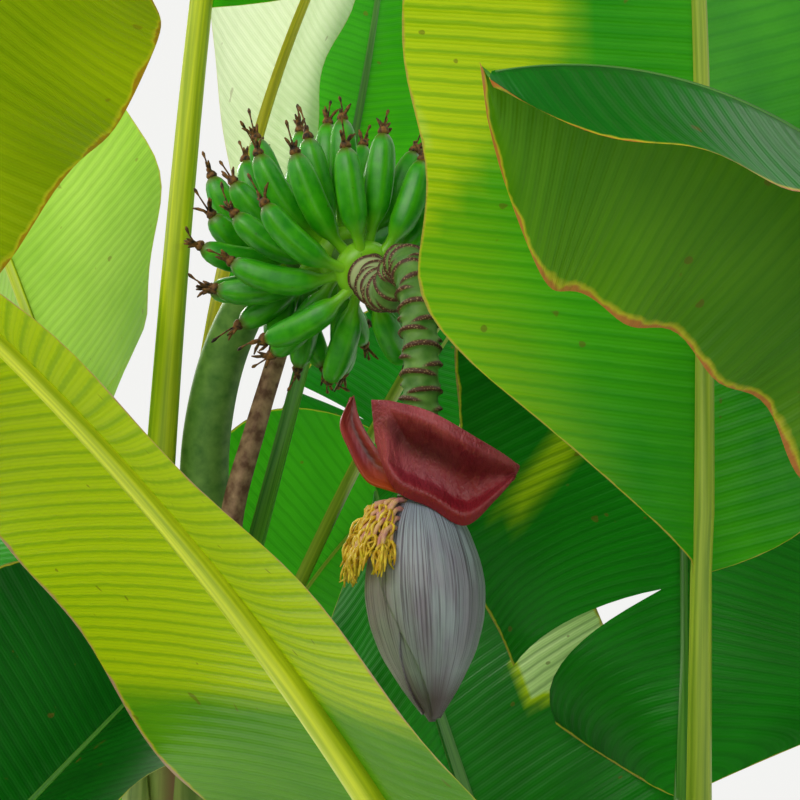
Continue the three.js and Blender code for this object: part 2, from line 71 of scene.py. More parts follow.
# Leaves, in millimetres and degrees, by the solids' own names and rule.
PLAIN_LEAF = dict(swing=0, roll=0, cup=(5, 5), open=(0.1, 0.26), close=0.66, stout=1)
LEAVES = {
    "mother_1": dict(
        down=70, face=185, heading=-72, rise=78, droop=100, stalk=820, blade=1300, width=520, stout=1.4
    ),
    "mother_2": dict(
        down=20, face=135, heading=-37, rise=84, droop=54, swing=49, stalk=580, blade=1000, width=460
    ),
    "mother_3": dict(
        down=40, face=75, heading=48, rise=71, droop=-14, roll=40, stalk=500, blade=800, width=280
    ),
    "mother_4": dict(down=150, heading=34, rise=50, droop=85, swing=-6, stalk=600, blade=1350, width=480),
    "mother_5": dict(
        down=50, heading=155, rise=69, droop=30, swing=16, roll=40, cup=(31, 5),
        stalk=120, blade=1500, width=560,
    ),
    "mother_6": dict(
        down=45, face=-10, heading=7, rise=66, droop=98, swing=-4, stalk=460, blade=1400, width=420
    ),
    "mother_7": dict(down=150, heading=190, rise=50, droop=100, swing=10, stalk=380, blade=1350, width=560),
    "front_1": dict(
        down=40, heading=-69, rise=85, droop=47, swing=-50, roll=40, cup=(14, 21), open=(0.09, 0.24),
        stalk=530, blade=1120, width=500,
    ),
    "front_2": dict(
        down=100, heading=50, rise=82, droop=10, swing=50, roll=-34, cup=(60, -25), open=(0.3, 0.1),
        stalk=400, blade=900, width=490,
    ),
    "front_3": dict(
        down=60, heading=220, rise=55, droop=30, swing=-14, roll=39, cup=(-57, 40), open=(0.06, 0.14),
        close=0.8, stalk=200, blade=1040, width=640, stout=1.45,
    ),
    "front_4": dict(
        down=60, heading=128, rise=57, droop=4, swing=-20, roll=-40, cup=(-46, 10), open=(0.15, 0.12),
        close=0.86, stalk=260, blade=600, width=400,
    ),
    "front_5": dict(
        down=190, heading=-82, rise=45, droop=90, cup=(-30, -30), stalk=250, blade=900, width=380
    ),
    "right_1": dict(
        down=18, heading=246.6, rise=73.3, droop=91, swing=-49.4, roll=9.6, cup=(-52, -44), close=0.78,
        stalk=402, blade=698, width=348,
    ),
    "right_2": dict(down=60, heading=70, rise=72, droop=90, stalk=320, blade=1200, width=500),
    "right_3": dict(down=90, heading=-15, rise=62, droop=100, stalk=320, blade=1150, width=500),
    "right_4": dict(
        down=175, heading=222, rise=52, droop=66, cup=(-15, -20), stalk=240, blade=462, width=240
    ),
    "back_1": dict(
        down=90, heading=-24, rise=74, droop=37, swing=13, roll=58, cup=(36, 0), stalk=100, blade=800, width=520
    ),
    "back_2": dict(down=60, heading=142, rise=68, droop=95, stalk=300, blade=1200, width=500),
    "back_3": dict(down=120, heading=27, rise=70, droop=16, roll=60, stalk=520, blade=740, width=340),
    "back_4": dict(down=150, heading=185, rise=52, droop=95, stalk=280, blade=1000, width=440),
    "left_1": dict(
        down=30, heading=-21, rise=90, droop=110, swing=-31, roll=-18, cup=(-10, 0), open=(0.1, 0.2),
        stalk=396, blade=1100, width=373,
    ),
    "left_2": dict(
        down=60, heading=14, rise=48, droop=12, swing=43, roll=30, cup=(49, 38), open=(0.1, 0.15),
        stalk=150, blade=672, width=476,
    ),
    "left_3": dict(down=80, heading=165, rise=66, droop=95, stalk=300, blade=1150, width=500),
    "left_4": dict(down=130, heading=235, rise=58, droop=100, stalk=280, blade=1050, width=460),
}
# A rib's half width at its foot and its tip, in millimetres, and its depth against its half width.
RIB_HALF, RIB_TIP_HALF, RIB_DEPTH_SHARE = 15, 3, 1.25
# A blade starts under the rib's edge, at this share of its half width. Its margin waves this high and often,
# its fine ripple repeats every 2 pi times this length, and its side veins lean back by this slope.
BLADE_START = 0.85
WAVE_HEIGHT, WAVE_COUNT, RIPPLE_LENGTH, VEIN_LEAN = 9, 5, 31, 0.12
# How far from a tear the torn strip hangs loose, in millimetres.
TORN_STRIP = 160
# A leaf's sheath: how far it starts above the stalk's foot, its length, how far its middle stands off the
# stem and how far its end sinks in, all in millimetres, and how far round it reaches each way at its top and
# more at its end.
SHEATH_ABOVE, SHEATH_LENGTH, SHEATH_BULGE, SHEATH_SINK = 26, 360, 7, 9
SHEATH_TOP_TURN, SHEATH_MORE_TURN = 12, 78

# How each leaf looks: the finish of its left half, of its right half, and of its rib.
LOOKS = {
    "mother_1": ("fresh", "fresh", "yellow"),
    "mother_2": ("bleached", "bleached", "golden"),
    "mother_3": ("mid", "fresh", "dark"),
    "mother_5": ("pale", "pale", "yellow"),
    "front_1": ("fresh", "fresh", "olive"),
    "front_2": ("deep", "deep", "dark"),
    "front_3": ("sunlit", "sunlit", "yellow"),
    "front_4": ("deep", "deep", "dark"),
    "right_1": ("glossy", "olive", "dark"),
    "right_4": ("mid", "mid", "olive"),
    "back_1": ("mid", "mid", "olive"),
    "left_1": ("aged", "aged", "yellow"),
    "left_2": ("dark", "dark", "dark"),
    "back_3": ("deep", "deep", "olive"),
}
PLAIN_LOOK = ("mid", "mid", "olive")

# Tears along the side veins: half (-1 left, 1 right), share along the blade, share across where it starts,
# and its mouth in millimetres. Leaves that face the wind round the outside have more.
TEARS = {
    "front_2": [(-1, 0.235, 0.1, 40)],
    "mother_2": [(1, 0.5, 0.3, 16)],
    "back_1": [(1, 0.62, 0.5, 8)],
}
# Where the sun falls on a blade through the leaves above: corners in millimetres, across (left is negative)
# and along the blade, then how softly the patch ends and how light it is.
SUNLIT = {
    "front_1": [
        (
            [(330, 700), (190, 660), (110, 540), (112, 440), (150, 385), (205, 325), (245, 262), (300, 240)],
            40, 0.95,
        ),
        ([(330, 410), (238, 410), (232, 330), (330, 330)], 60, 1.25),
        ([(330, 300), (190, 300), (120, 60), (330, 0)], 130, 0.35),
    ],
    "front_2": [([(-118, 442), (-104, 398), (-168, 345), (-186, 372)], 26, 0.7)],
    "front_3": [([(340, 850), (0, 930), (-340, 900), (-340, 352), (340, 334)], 34, 0.95)],
    "front_4": [([(89, 262), (101, 210), (160, 196), (250, 216), (280, 300), (200, 310), (130, 290)], 7, 1.4)],
}
# How far a leaf's side veins lean back towards its foot at the margin, against its width.
LEAN = {"front_2": 0.68}
OUTER_LEAVES = (
    "mother_1", "mother_4", "mother_6", "mother_7", "right_2", "right_3", "back_2", "back_3", "back_4",
    "left_3", "left_4", "front_5",
)

# The bunch stalk's line, in millimetres, and where things sit on it.
STALK_POINTS = [
    (0, 0, 1640), (4, -22, 1780), (9, -58, 1900), (34, -95, 1995), (80, -148, 2062), (138, -212, 2082),
    (188, -300, 2040), (226, -399, 1978), (240, -452, 1992), (250, -490, 1965), (256, -504, 1902),
    (256, -500, 1835), (254, -493, 1756),
]
LAST_HAND_AT = 0.645
STALK_FOOT_RADIUS, STALK_END_RADIUS, RACHIS_RADIUS = 33, 20, 16
# Scars of the bare stalk: number, spacing and height in millimetres, and the turn from each to the next, in
# radians.
SCAR_COUNT, SCAR_PITCH, SCAR_HEIGHT, GOLDEN_TURN = 60, 8, 5, 2.4
# The hands: share along the stalk, length of a fruit in millimetres, number of fruits, and where the first one
# faces, in degrees. All go equally far round the stalk.
HANDS = [(0.462, 112, 12, -165), (0.52, 120, 12, -178), (0.578, 126, 12, -166), (0.634, 124, 12, -180)]
HAND_ARC = 326
# The cushion that a hand grows from, which goes round the stalk.
COLLAR_RADII = [24, 29, 31, 32, 31, 29, 24]
# How much a fruit turns upward and back along the stalk, and how far each of a hand's two rows lies from its
# middle, in millimetres.
FRUIT_LIFT, FRUIT_LEAN, ROW_STEP = 0.95, 0.06, 7

BUD_TOP, BUD_TIP = (254, -493, 1756), (266, -482, 1554)
# The bud's outline: share of its length, and radius in millimetres.
BUD_PROFILE = [
    (0, 15), (0.05, 27), (0.14, 40), (0.3, 50), (0.42, 53), (0.56, 50), (0.7, 41), (0.86, 23), (0.95, 10),
    (1, 2),
]
# The bracts wrapped round the bud: degrees round it, how far they stand off it, how far down they reach as a
# share of it, and where their middle faces.
BUD_WRAPS = [(150, 0.6, 0.93, -70), (200, 0.9, 0.965, 196), (214, 2.2, 0.985, 36)]
# The lifted bracts: finish, lower and upper edge in millimetres from the bracts' foot, how hollow the shell
# is and how far its lip rolls over. An edge's second number is how far it stands in front.
BRACT_FOOT = (260, -492, 1756)
BRACTS = {
    "bract_lifted": (
        "red_bract",
        [(80, 42, 12), (62, 44, -9), (35, 34, -31), (4, 30, -14), (-27, 30, 2), (-45, 30, 48)],
        [(85, 42, 22), (72, 48, 30), (48, 58, 43), (4, 60, 68), (-25, 52, 78), (-49, 42, 83)], 20, 17,
    ),
    "bract_folded": (
        "folded_bract",
        [(-20, 24, 0), (-34, 30, 3), (-52, 30, 10), (-70, 24, 42), (-78, 18, 66), (-68, 12, 92)],
        [(-18, 14, 14), (-30, 20, 26), (-44, 22, 42), (-56, 18, 62), (-62, 12, 78), (-66, 9, 94)], 6, 1.5,
    ),
}

DRY_STALK_POINTS = [(30, -50, 1560), (36, -74, 1690), (43, -84, 1799), (70, -96, 1900), (97, -104, 1992)]


# Small helpers

def linear(code):
    """An sRGB hex colour as linear red, green, blue and alpha."""
    channels = [((code >> shift) & 255) / 255 for shift in (16, 8, 0)]
    return tuple(c / 12.92 if c <= 0.04045 else ((c + 0.055) / 1.055) ** 2.4 for c in channels) + (1.0,)


def ease(t):
    k = np.clip(t, 0, 1)
    return k * k * (3 - 2 * k)


def unit(v):
    return v / np.linalg.norm(v, axis=-1, keepdims=True)


def between(a, b, start, end, t):
    return a * (end - t) / (end - start) + b * (t - start) / (end - start)


def smooth_line(points, shares):
    """Points at even shares of the length of a centripetal curve through the given points."""
    p = np.array(points, float)
    p = np.vstack([2 * p[0] - p[1], p, 2 * p[-1] - p[-2]])
    knots = np.append(0, np.cumsum(np.linalg.norm(np.diff(p, axis=0), axis=1) ** 0.5))
    fine = []
    for i in range(1, len(p) - 2):
        (a, b, c, d), (t0, t1, t2, t3) = p[i - 1 : i + 3], knots[i - 1 : i + 3]
        t = np.linspace(t1, t2, 24, endpoint=False)[:, None]
        ab, bc, cd = between(a, b, t0, t1, t), between(b, c, t1, t2, t), between(c, d, t2, t3, t)
        fine.append(between(between(ab, bc, t0, t2, t), between(bc, cd, t1, t3, t), t1, t2, t))
    fine = np.vstack(fine + [p[-2:-1]])
    walked = np.append(0, np.cumsum(np.linalg.norm(np.diff(fine, axis=0), axis=1)))
    want = np.atleast_1d(shares) * walked[-1]
    return np.stack([np.interp(want, walked, fine[:, i]) for i in range(3)], axis=-1)


def grid_piece(name, places, uv=None, closed=False, **attributes):
    """A grid primitive whose corners are moved to places, a rows by columns array of points in millimetres.
    uv holds two more values for each corner, and attributes one. A closed piece has its seam and poles
    merged."""
    rows, columns = places.shape[:2]
    bpy.ops.object.select_all(action="DESELECT")
    bpy.ops.mesh.primitive_grid_add(x_subdivisions=columns - 1, y_subdivisions=rows - 1, size=1)
    piece = bpy.context.object
    piece.name = piece.data.name = name
    mesh = piece.data
    mesh.vertices.foreach_set("co", (places.reshape(-1, 3) * MM).astype(np.float32).ravel())
    if uv is not None:
        corner = np.zeros(len(mesh.loops), np.int32)
        mesh.loops.foreach_get("vertex_index", corner)
        mesh.uv_layers[0].name = "UVMap"
        mesh.uv_layers[0].data.foreach_set("uv", (uv.reshape(-1, 2)[corner] * MM).astype(np.float32).ravel())
    for key, values in attributes.items():
        layer = mesh.attributes.new(key, "FLOAT", "POINT")
        layer.data.foreach_set("value", values.astype(np.float32).ravel())
    mesh.update()
    if closed:
        bpy.ops.object.mode_set(mode="EDIT")
        bpy.ops.mesh.select_all(action="SELECT")
        bpy.ops.mesh.remove_doubles(threshold=2e-5)
        bpy.ops.object.mode_set(mode="OBJECT")
    mesh.shade_smooth()
    return piece


def tube_places(points, radii, sides, first_side=(1, 0, 0), level=False, section=None):
    """Rows of corners round a line. radii holds one radius or (across, deep) for each point, and section an
    extra factor for each row and side. The first and last row close on the line."""
    points = np.asarray(points, float)
    along = np.gradient(points, axis=0)
    if level:
        along[:] = (0, 0, 1)
    along = unit(along)
    across = np.array(first_side, float)
    angle = np.linspace(0, 2 * math.pi, sides + 1)
    rows = []
    for i, point in enumerate(points):
        across = unit(across - along[i] * across.dot(along[i]))
        other = np.cross(along[i], across)
        wide, tall = np.broadcast_to(radii[i], 2)
        swell = np.ones(sides + 1) if section is None else np.append(section[i][:sides], section[i][0])
        rows.append(
            point
            + np.outer(np.cos(angle) * swell * wide, across)
            + np.outer(np.sin(angle) * swell * tall, other)
        )
    rows = [np.repeat(points[:1], sides + 1, axis=0)] + rows + [np.repeat(points[-1:], sides + 1, axis=0)]
    return np.array(rows)


def array_mesh(name, parts):
    """Many small shapes, each (corners, faces), as one mesh."""
    corners, faces, start = [], [], 0
    for points, polygons in parts:
        corners.append(np.asarray(points, float))
        faces += [tuple(int(i) + start for i in polygon) for polygon in polygons]
        start += len(points)
    mesh = bpy.data.meshes.new(name)
    mesh.from_pydata((np.vstack(corners) * MM).tolist(), [], faces)
    mesh.shade_smooth()
    piece = bpy.data.objects.new(name, mesh)
    bpy.context.scene.collection.objects.link(piece)
    return piece


def small_tube(points, radii, sides, first_side=(0, 0, 1)):
    """The corners and faces of a thin closed tube, for array_mesh."""
    rows = tube_places(points, radii, sides, first_side)[1:-1, :sides]
    count = len(rows)
    corners = np.vstack([rows.reshape(-1, 3), points[0], points[-1]])
    faces = []
    for r in range(count - 1):
        for s in range(sides):
            n = (s + 1) % sides
            faces.append((r * sides + s, r * sides + n, (r + 1) * sides + n, (r + 1) * sides + s))
    foot, tip = count * sides, count * sides + 1
    for s in range(sides):
        n = (s + 1) % sides
        faces.append((n, s, foot))
        faces.append(((count - 1) * sides + s, (count - 1) * sides + n, tip))
    return corners, faces


def join(name, pieces):
    """Joins pieces into one object with this name."""
    bpy.ops.object.select_all(action="DESELECT")
    for piece in pieces:
        piece.select_set(True)
    bpy.context.view_layer.objects.active = pieces[0]
    if len(pieces) > 1:
        bpy.ops.object.join()
    pieces[0].name = pieces[0].data.name = name
    return pieces[0]


def dress(piece, finishes):
    """Gives a piece its finishes, by name, and keeps which of them each face has."""
    kinds = np.zeros(len(piece.data.polygons), np.int32)
    piece.data.polygons.foreach_get("material_index", kinds)
    piece.data.materials.clear()
    for name in finishes:
        piece.data.materials.append(finish(name))
    piece.data.polygons.foreach_set("material_index", kinds)


def finish_piece(piece, finishes, slot, *nodes):
    """Gives a piece its finishes and its body, and hides the solids that it stands for. slot is not used."""
    dress(piece, finishes)
    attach(piece, "root")
    if nodes:
        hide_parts(*nodes)


def thicken(piece, thickness, levels=0):
    """Gives a sheet a wall, in millimetres, and rounds it."""
    bpy.ops.object.select_all(action="DESELECT")
    piece.select_set(True)
    bpy.context.view_layer.objects.active = piece
    wall = piece.modifiers.new("wall", "SOLIDIFY")
    wall.thickness = thickness * MM
    wall.offset = 0
    bpy.ops.object.modifier_apply(modifier=wall.name)
    if levels:
        rounding = piece.modifiers.new("rounding", "SUBSURF")
        rounding.levels = rounding.render_levels = levels
        bpy.ops.object.modifier_apply(modifier=rounding.name)
    piece.data.shade_smooth()


# The growing rules

def stem_centre(stem, k):
    bow = math.sin(math.pi * k)
    foot, crown, bend = (np.array(stem[key], float) for key in ("foot", "crown", "bow"))
    return np.append(foot + (crown - foot) * k + bend * bow, stem["height"] * k)


def stem_radius(stem, k):
    flare = stem["flare"] * max(0, 1 - stem["height"] * k / FLARE_HEIGHT) ** 2
    return stem["low"] + (stem["high"] - stem["low"]) * k + flare


def leaf_frames(leaf, shares):
    """Directions at shares of the whole leaf: along the rib, to its right side and out of its top."""
    shares = np.atleast_1d(shares)
    rise = np.radians(leaf["rise"] - leaf["droop"] * shares**2)
    heading = np.radians(leaf["heading"] + leaf["swing"] * shares)
    along = np.stack([np.cos(rise) * np.cos(heading), np.cos(rise) * np.sin(heading), np.sin(rise)], -1)
    side = np.stack([np.sin(heading), -np.cos(heading), np.zeros_like(heading)], -1)
    roll = (np.radians(leaf["roll"]) * ease(shares * 2.5))[:, None]
    side = side * np.cos(roll) + np.cross(along, side) * np.sin(roll)
    return along, side, np.cross(side, along)


def leaf_start(leaf, stem):
    k = 1 - leaf["down"] / stem["height"]
    face = math.radians(leaf.get("face", leaf["heading"]))
    out = np.array([math.cos(face), math.sin(face), 0])
    return stem_centre(stem, k) + out * (stem_radius(stem, k) - 4), out


def rib_line(leaf, stem, shares):
    """The rib's centre line at shares of the whole leaf."""
    steps = 240
    length = leaf["stalk"] + leaf["blade"]
    along = leaf_frames(leaf, (np.arange(steps) + 0.5) / steps)[0]
    walked = np.vstack([np.zeros(3), np.cumsum(along * length / steps, axis=0)]) + leaf_start(leaf, stem)[0]
    at = np.linspace(0, 1, steps + 1)
    return np.stack([np.interp(shares, at, walked[:, i]) for i in range(3)], axis=-1)


def rib_half(leaf, share):
    return leaf["stout"] * (RIB_HALF + (RIB_TIP_HALF - RIB_HALF) * np.clip(share, 0, 1) ** 0.8)


def half_width(leaf, t, side, share):
    """How far the blade reaches from the rib's middle, on side 0 (left) or 1 (right), at t of the blade."""
    past = np.clip((t - leaf["close"]) / (1 - leaf["close"]), 0, 1)
    end = np.sqrt(np.clip(1 - past**2.3, 0, 1))
    power = (0.7, 1.1)[side]
    opening = np.sin(math.pi / 2 * np.clip(t / leaf["open"][side], 0, 1)) ** power
    return np.maximum(rib_half(leaf, share), leaf["width"] / 2 * end * opening)


# Materials. A noise's scale is how many of its blots fit in a metre, so scale 30 is for blots of about 33 mm.

def add(tree, kind, inputs=(), out=0, **settings):
    """Adds a node with its settings, links or sets its inputs, given as {name or number: socket or value},
    and returns one of its outputs."""
    node = tree.nodes.new(kind)
    for key, value in settings.items():
        setattr(node, key, value)
    for key, value in dict(inputs).items():
        if isinstance(value, bpy.types.NodeSocket):
            tree.links.new(value, node.inputs[key])
        else:
            node.inputs[key].default_value = value
    return node.outputs[out]


def coat(tree, under, over, value, *stops):
    """One colour over another, as thickly as two (value, thickness) stops say. A colour is a socket or a hex
    code."""
    thickness = add(tree, "ShaderNodeValToRGB", {0: value})
    for element, (place, amount) in zip(thickness.node.color_ramp.elements, stops):
        element.position, element.color = place, (amount, amount, amount, 1)
    under, over = (linear(colour) if isinstance(colour, int) else colour for colour in (under, over))
    return add(tree, "ShaderNodeMix", {0: thickness, 6: under, 7: over}, out=2, data_type="RGBA")


def skin(tree, colour, roughness, relief, strength, depth, **more):
    """A plain surface of this colour with a relief, as deep as the given millimetres."""
    bump = add(tree, "ShaderNodeBump", {"Height": relief, "Strength": strength, "Distance": depth * MM})
    surface = {"Base Color": colour, "Roughness": roughness, "Normal": bump, **more}
    return add(tree, "ShaderNodeBsdfPrincipled", surface)


def blade(tree, base, bright, margin, worn_width, gloss, glow):
    """Banana leaf blade: a waxy skin over soft green tissue with fine side veins a few millimetres apart. The
    light shines through it, so it is part translucent, and its margin dries yellow and brown."""
    place = add(tree, "ShaderNodeUVMap", uv_map="UVMap")
    position = add(tree, "ShaderNodeTexCoord", out="Object")
    along = add(tree, "ShaderNodeMapping", {"Vector": place, "Scale": (3, 1, 1)})
    # A wave's band is 2 pi / 20 of a unit wide at scale 1, so ridges are 13 mm apart and fine veins 3.4 mm
    # apart.
    ridges, veins = (
        add(
            tree, "ShaderNodeTexWave",
            {"Vector": along, "Scale": scale, "Distortion": waver, "Detail": 2.0, "Detail Scale": detail},
            out="Fac", wave_type="BANDS", bands_direction="Y",
        )
        for scale, waver, detail in ((24.2, 0.8, 0.6), (92, 0.5, 1.0))
    )
    patches = add(tree, "ShaderNodeTexNoise", {"Vector": position, "Scale": 5, "Detail": 3, "Roughness": 0.5})
    across = add(tree, "ShaderNodeMapping", {"Vector": place, "Scale": (4, 60, 1)})
    streaks = add(tree, "ShaderNodeTexNoise", {"Vector": across, "Scale": 1, "Detail": 2})
    specks = add(tree, "ShaderNodeTexNoise", {"Vector": position, "Scale": 55, "Detail": 1})
    colour = coat(tree, base, bright, patches, (0.38, 0), (0.66, 1))
    colour = coat(tree, colour, bright, streaks, (0.35, 0), (0.7, 0.4))
    # Where the sun falls: yellow up to a value of 1, and nearly white past it.
    pale = add(tree, "ShaderNodeAttribute", out="Fac", attribute_name="pale")
    glare = add(tree, "ShaderNodeMath", {0: pale, 1: 3, 2: -3}, operation="MULTIPLY_ADD")
    colour = coat(tree, colour, 0xC6D804, pale, (0, 0), (1, 1))
    colour = coat(tree, colour, 0xDCF2A4, glare, (0, 0), (1, 1))
    colour = coat(tree, colour, bright, veins, (0.55, 0), (1, 0.16))
    colour = coat(tree, colour, base, ridges, (0, 0.42), (0.4, 0))
    # The margin dries to a ragged width: the value is 1 where the dry part ends.
    edge = add(tree, "ShaderNodeAttribute", out="Fac", attribute_name="margin")
    ragged = add(tree, "ShaderNodeTexNoise", {"Vector": position, "Scale": 38, "Detail": 3})
    ragged = add(tree, "ShaderNodeMath", {0: ragged, 1: 2.4, 2: -1.2}, operation="MULTIPLY_ADD")
    worn = add(tree, "ShaderNodeMath", {0: edge, 1: 1 / worn_width, 2: ragged}, operation="MULTIPLY_ADD")
    colour = coat(tree, colour, 0xC8B82A, worn, (0.5, 0.9), (1, 0))
    colour = coat(tree, colour, margin, worn, (0.2, 1), (0.5, 0))
    colour = coat(tree, colour, 0x6B4A16, specks, (0.755, 0), (0.775, 0.6))
    relief = add(tree, "ShaderNodeMath", {0: veins, 1: 0.22, 2: ridges}, operation="MULTIPLY_ADD")
    upper = skin(tree, colour, gloss, relief, 0.5, 1.5, **{"Specular IOR Level": 0.22})
    # The light that shines through is bent by the same relief.
    bump = upper.node.inputs["Normal"].links[0].from_socket
    lit = add(tree, "ShaderNodeMix", {0: 0.5, 6: colour, 7: linear(bright)}, out=2, data_type="RGBA")
    through = add(tree, "ShaderNodeBsdfTranslucent", {"Color": lit, "Normal": bump})
    return add(tree, "ShaderNodeMixShader", {0: glow, 1: upper, 2: through})


def rib(tree, base, bright):
    """Leaf stalk and rib: smooth waxy skin, faintly streaked lengthwise."""
    position = add(tree, "ShaderNodeTexCoord", out="Object")
    place = add(tree, "ShaderNodeUVMap", uv_map="UVMap")
    long_way = add(tree, "ShaderNodeMapping", {"Vector": place, "Scale": (260, 5, 1)})
    streaks = add(tree, "ShaderNodeTexNoise", {"Vector": long_way, "Scale": 1, "Detail": 2})
    blots = add(tree, "ShaderNodeTexNoise", {"Vector": position, "Scale": 30, "Detail": 3})
    colour = coat(tree, base, bright, streaks, (0.35, 0), (0.7, 1))
    colour = coat(tree, colour, 0x6E5A22, blots, (0.66, 0), (0.8, 0.35))
    soft = {"Subsurface Weight": 0.12, "Subsurface Radius": (0.006, 0.008, 0.002)}
    return skin(tree, colour, 0.42, streaks, 0.2, 0.6, **soft)


def sheath(tree):
    """Stem of rolled leaf sheaths: smooth and waxy where fresh, with dry brown edges and dark blotches."""
    position = add(tree, "ShaderNodeTexCoord", out="Object")
    upright = add(tree, "ShaderNodeMapping", {"Vector": position, "Scale": (60, 60, 3)})
    streaks = add(tree, "ShaderNodeTexNoise", {"Vector": upright, "Scale": 1, "Detail": 4})
    blots = add(tree, "ShaderNodeTexNoise", {"Vector": position, "Scale": 9, "Detail": 5, "Roughness": 0.6})
    edge = add(tree, "ShaderNodeAttribute", out="Fac", attribute_name="edge")
    colour = coat(tree, 0x5F7A22, 0xA9B65A, streaks, (0.35, 0), (0.7, 1))
    colour = coat(tree, colour, 0x5A3A1E, blots, (0.5, 0), (0.62, 0.85))
    colour = coat(tree, colour, 0x7B5A34, edge, (0.8, 0), (0.97, 1))
    return skin(tree, colour, 0.55, streaks, 0.4, 1.5)


def peel(tree):
    """Unripe fruit peel: taut, waxy and evenly green, yellower along its own short stalk and its ridges."""
    position = add(tree, "ShaderNodeTexCoord", out="Object")
    share = add(tree, "ShaderNodeAttribute", out="Fac", attribute_name="share")
    ridge = add(tree, "ShaderNodeAttribute", out="Fac", attribute_name="ridge")
    mottle = add(tree, "ShaderNodeTexNoise", {"Vector": position, "Scale": 70, "Detail": 3})
    scratches = add(tree, "ShaderNodeTexNoise", {"Vector": position, "Scale": 160, "Detail": 2})
    colour = coat(tree, 0x1C8A04, 0x46AE0C, mottle, (0.3, 0), (0.75, 1))
    colour = coat(tree, colour, 0x6CC41A, ridge, (0.55, 0), (1, 0.3))
    colour = coat(tree, colour, 0x84C41C, share, (0.1, 1), (0.36, 0))
    colour = coat(tree, colour, 0x5B6A1C, share, (0.93, 0), (0.985, 1))
    colour = coat(tree, colour, 0x4A4A1A, scratches, (0.72, 0), (0.76, 0.5))
    soft = {"Subsurface Weight": 0.08, "Subsurface Radius": (0.003, 0.006, 0.001)}
    return skin(tree, colour, 0.36, mottle, 0.12, 0.5, **soft)


def scarred_skin(tree):
    """Bare bunch stalk: green skin with raised, corky brown scars where bracts and flowers have dropped."""
    position = add(tree, "ShaderNodeTexCoord", out="Object")
    scar = add(tree, "ShaderNodeAttribute", out="Fac", attribute_name="scar")
    start = add(tree, "ShaderNodeAttribute", out="Fac", attribute_name="start")
    mottle = add(tree, "ShaderNodeTexNoise", {"Vector": position, "Scale": 60, "Detail": 4})
    # Flower scars: pale dots about 2.5 mm apart along each ledge.
    dots = add(tree, "ShaderNodeTexVoronoi", {"Vector": position, "Scale": 420}, out="Distance", feature="F1")
    colour = coat(tree, 0x3A6A1C, 0x6E9440, mottle, (0.3, 0), (0.75, 1))
    colour = coat(tree, colour, 0xE0DCB0, start, (0, 0.6), (0.45, 0))
    colour = coat(tree, colour, 0x4E2418, scar, (0.3, 0), (0.62, 1))
    dotted = coat(tree, colour, 0xA07E5C, dots, (0.22, 1), (0.4, 0))
    colour = coat(tree, colour, dotted, scar, (0.3, 0), (0.6, 0.85))
    return skin(tree, colour, 0.6, mottle, 0.3, 1.0)


def bloomed_bract(tree):
    """Bud bract: purple skin under a grey waxy bloom, with dark lines lengthwise a few millimetres apart."""
    place = add(tree, "ShaderNodeUVMap", uv_map="UVMap")
    share = add(tree, "ShaderNodeAttribute", out="Fac", attribute_name="share")
    turn = add(tree, "ShaderNodeAttribute", out="Fac", attribute_name="turn")
    long_way = add(tree, "ShaderNodeMapping", {"Vector": place, "Scale": (560, 7, 1)})
    lines = add(tree, "ShaderNodeTexNoise", {"Vector": long_way, "Scale": 1, "Detail": 4, "Roughness": 0.65})
    cloud_way = add(tree, "ShaderNodeMapping", {"Vector": place, "Scale": (34, 14, 1)})
    clouds = add(tree, "ShaderNodeTexNoise", {"Vector": cloud_way, "Scale": 1, "Detail": 4})
    colour = coat(tree, 0x8C8096, 0x9A9EAC, clouds, (0.38, 0), (0.62, 1))
    colour = coat(tree, colour, 0x93A3B8, share, (0.05, 0.75), (0.34, 0))
    colour = coat(tree, colour, 0xA58C90, turn, (0, 0.6), (0.35, 0))
    colour = coat(tree, colour, 0x8E9C98, turn, (0.8, 0), (1, 0.3))
    lined = coat(tree, colour, 0x3F3046, lines, (0.38, 1), (0.52, 0))
    colour = coat(tree, colour, lined, share, (0.1, 0.95), (0.9, 0.5))
    colour = coat(tree, colour, 0x4A3038, share, (0.78, 0), (0.9, 0.85))
    return skin(tree, colour, 0.42, lines, 0.5, 1.0, **{"Sheen Weight": 0.1, "Sheen Roughness": 0.5})


def rolled_bract(tree, base, bright, foot, wrinkle):
    """Lifted bract: leathery deep red skin, puckered crosswise every 2 or 3 millimetres as it dries, and
    lighter where it grows from the stalk."""
    place = add(tree, "ShaderNodeUVMap", uv_map="UVMap")
    position = add(tree, "ShaderNodeTexCoord", out="Object")
    near, deep, floor = (
        add(tree, "ShaderNodeAttribute", out="Fac", attribute_name=name) for name in ("foot", "deep", "floor")
    )
    cross_way = add(tree, "ShaderNodeMapping", {"Vector": place, "Scale": (420, 170, 1)})
    wrinkles = add(tree, "ShaderNodeTexNoise", {"Vector": cross_way, "Scale": 1, "Detail": 3, "Roughness": 0.6})
    clouds = add(tree, "ShaderNodeTexNoise", {"Vector": position, "Scale": 26, "Detail": 3})
    colour = coat(tree, base, bright, clouds, (0.35, 0), (0.68, 1))
    colour = coat(tree, colour, bright, wrinkles, (0.48, 0), (0.7, 0.45))
    # Painted shade: a near-black band in the hollow under the rolled upper lip, where its shadow falls. Painted
    # light: a lighter pink patch on the hollow's floor.
    colour = coat(tree, colour, 0x30060E, deep, (0, 0), (1, 0.8))
    colour = coat(tree, colour, 0x9A4A60, floor, (0, 0), (1, 0.7))
    colour = coat(tree, colour, foot, near, (0.1, 0), (0.8, 1))
    outer = skin(tree, colour, 0.4, wrinkles, wrinkle, 2.0)
    through = add(tree, "ShaderNodeBsdfTranslucent", {"Color": colour})
    return add(tree, "ShaderNodeMixShader", {0: 0.15, 1: outer, 2: through})


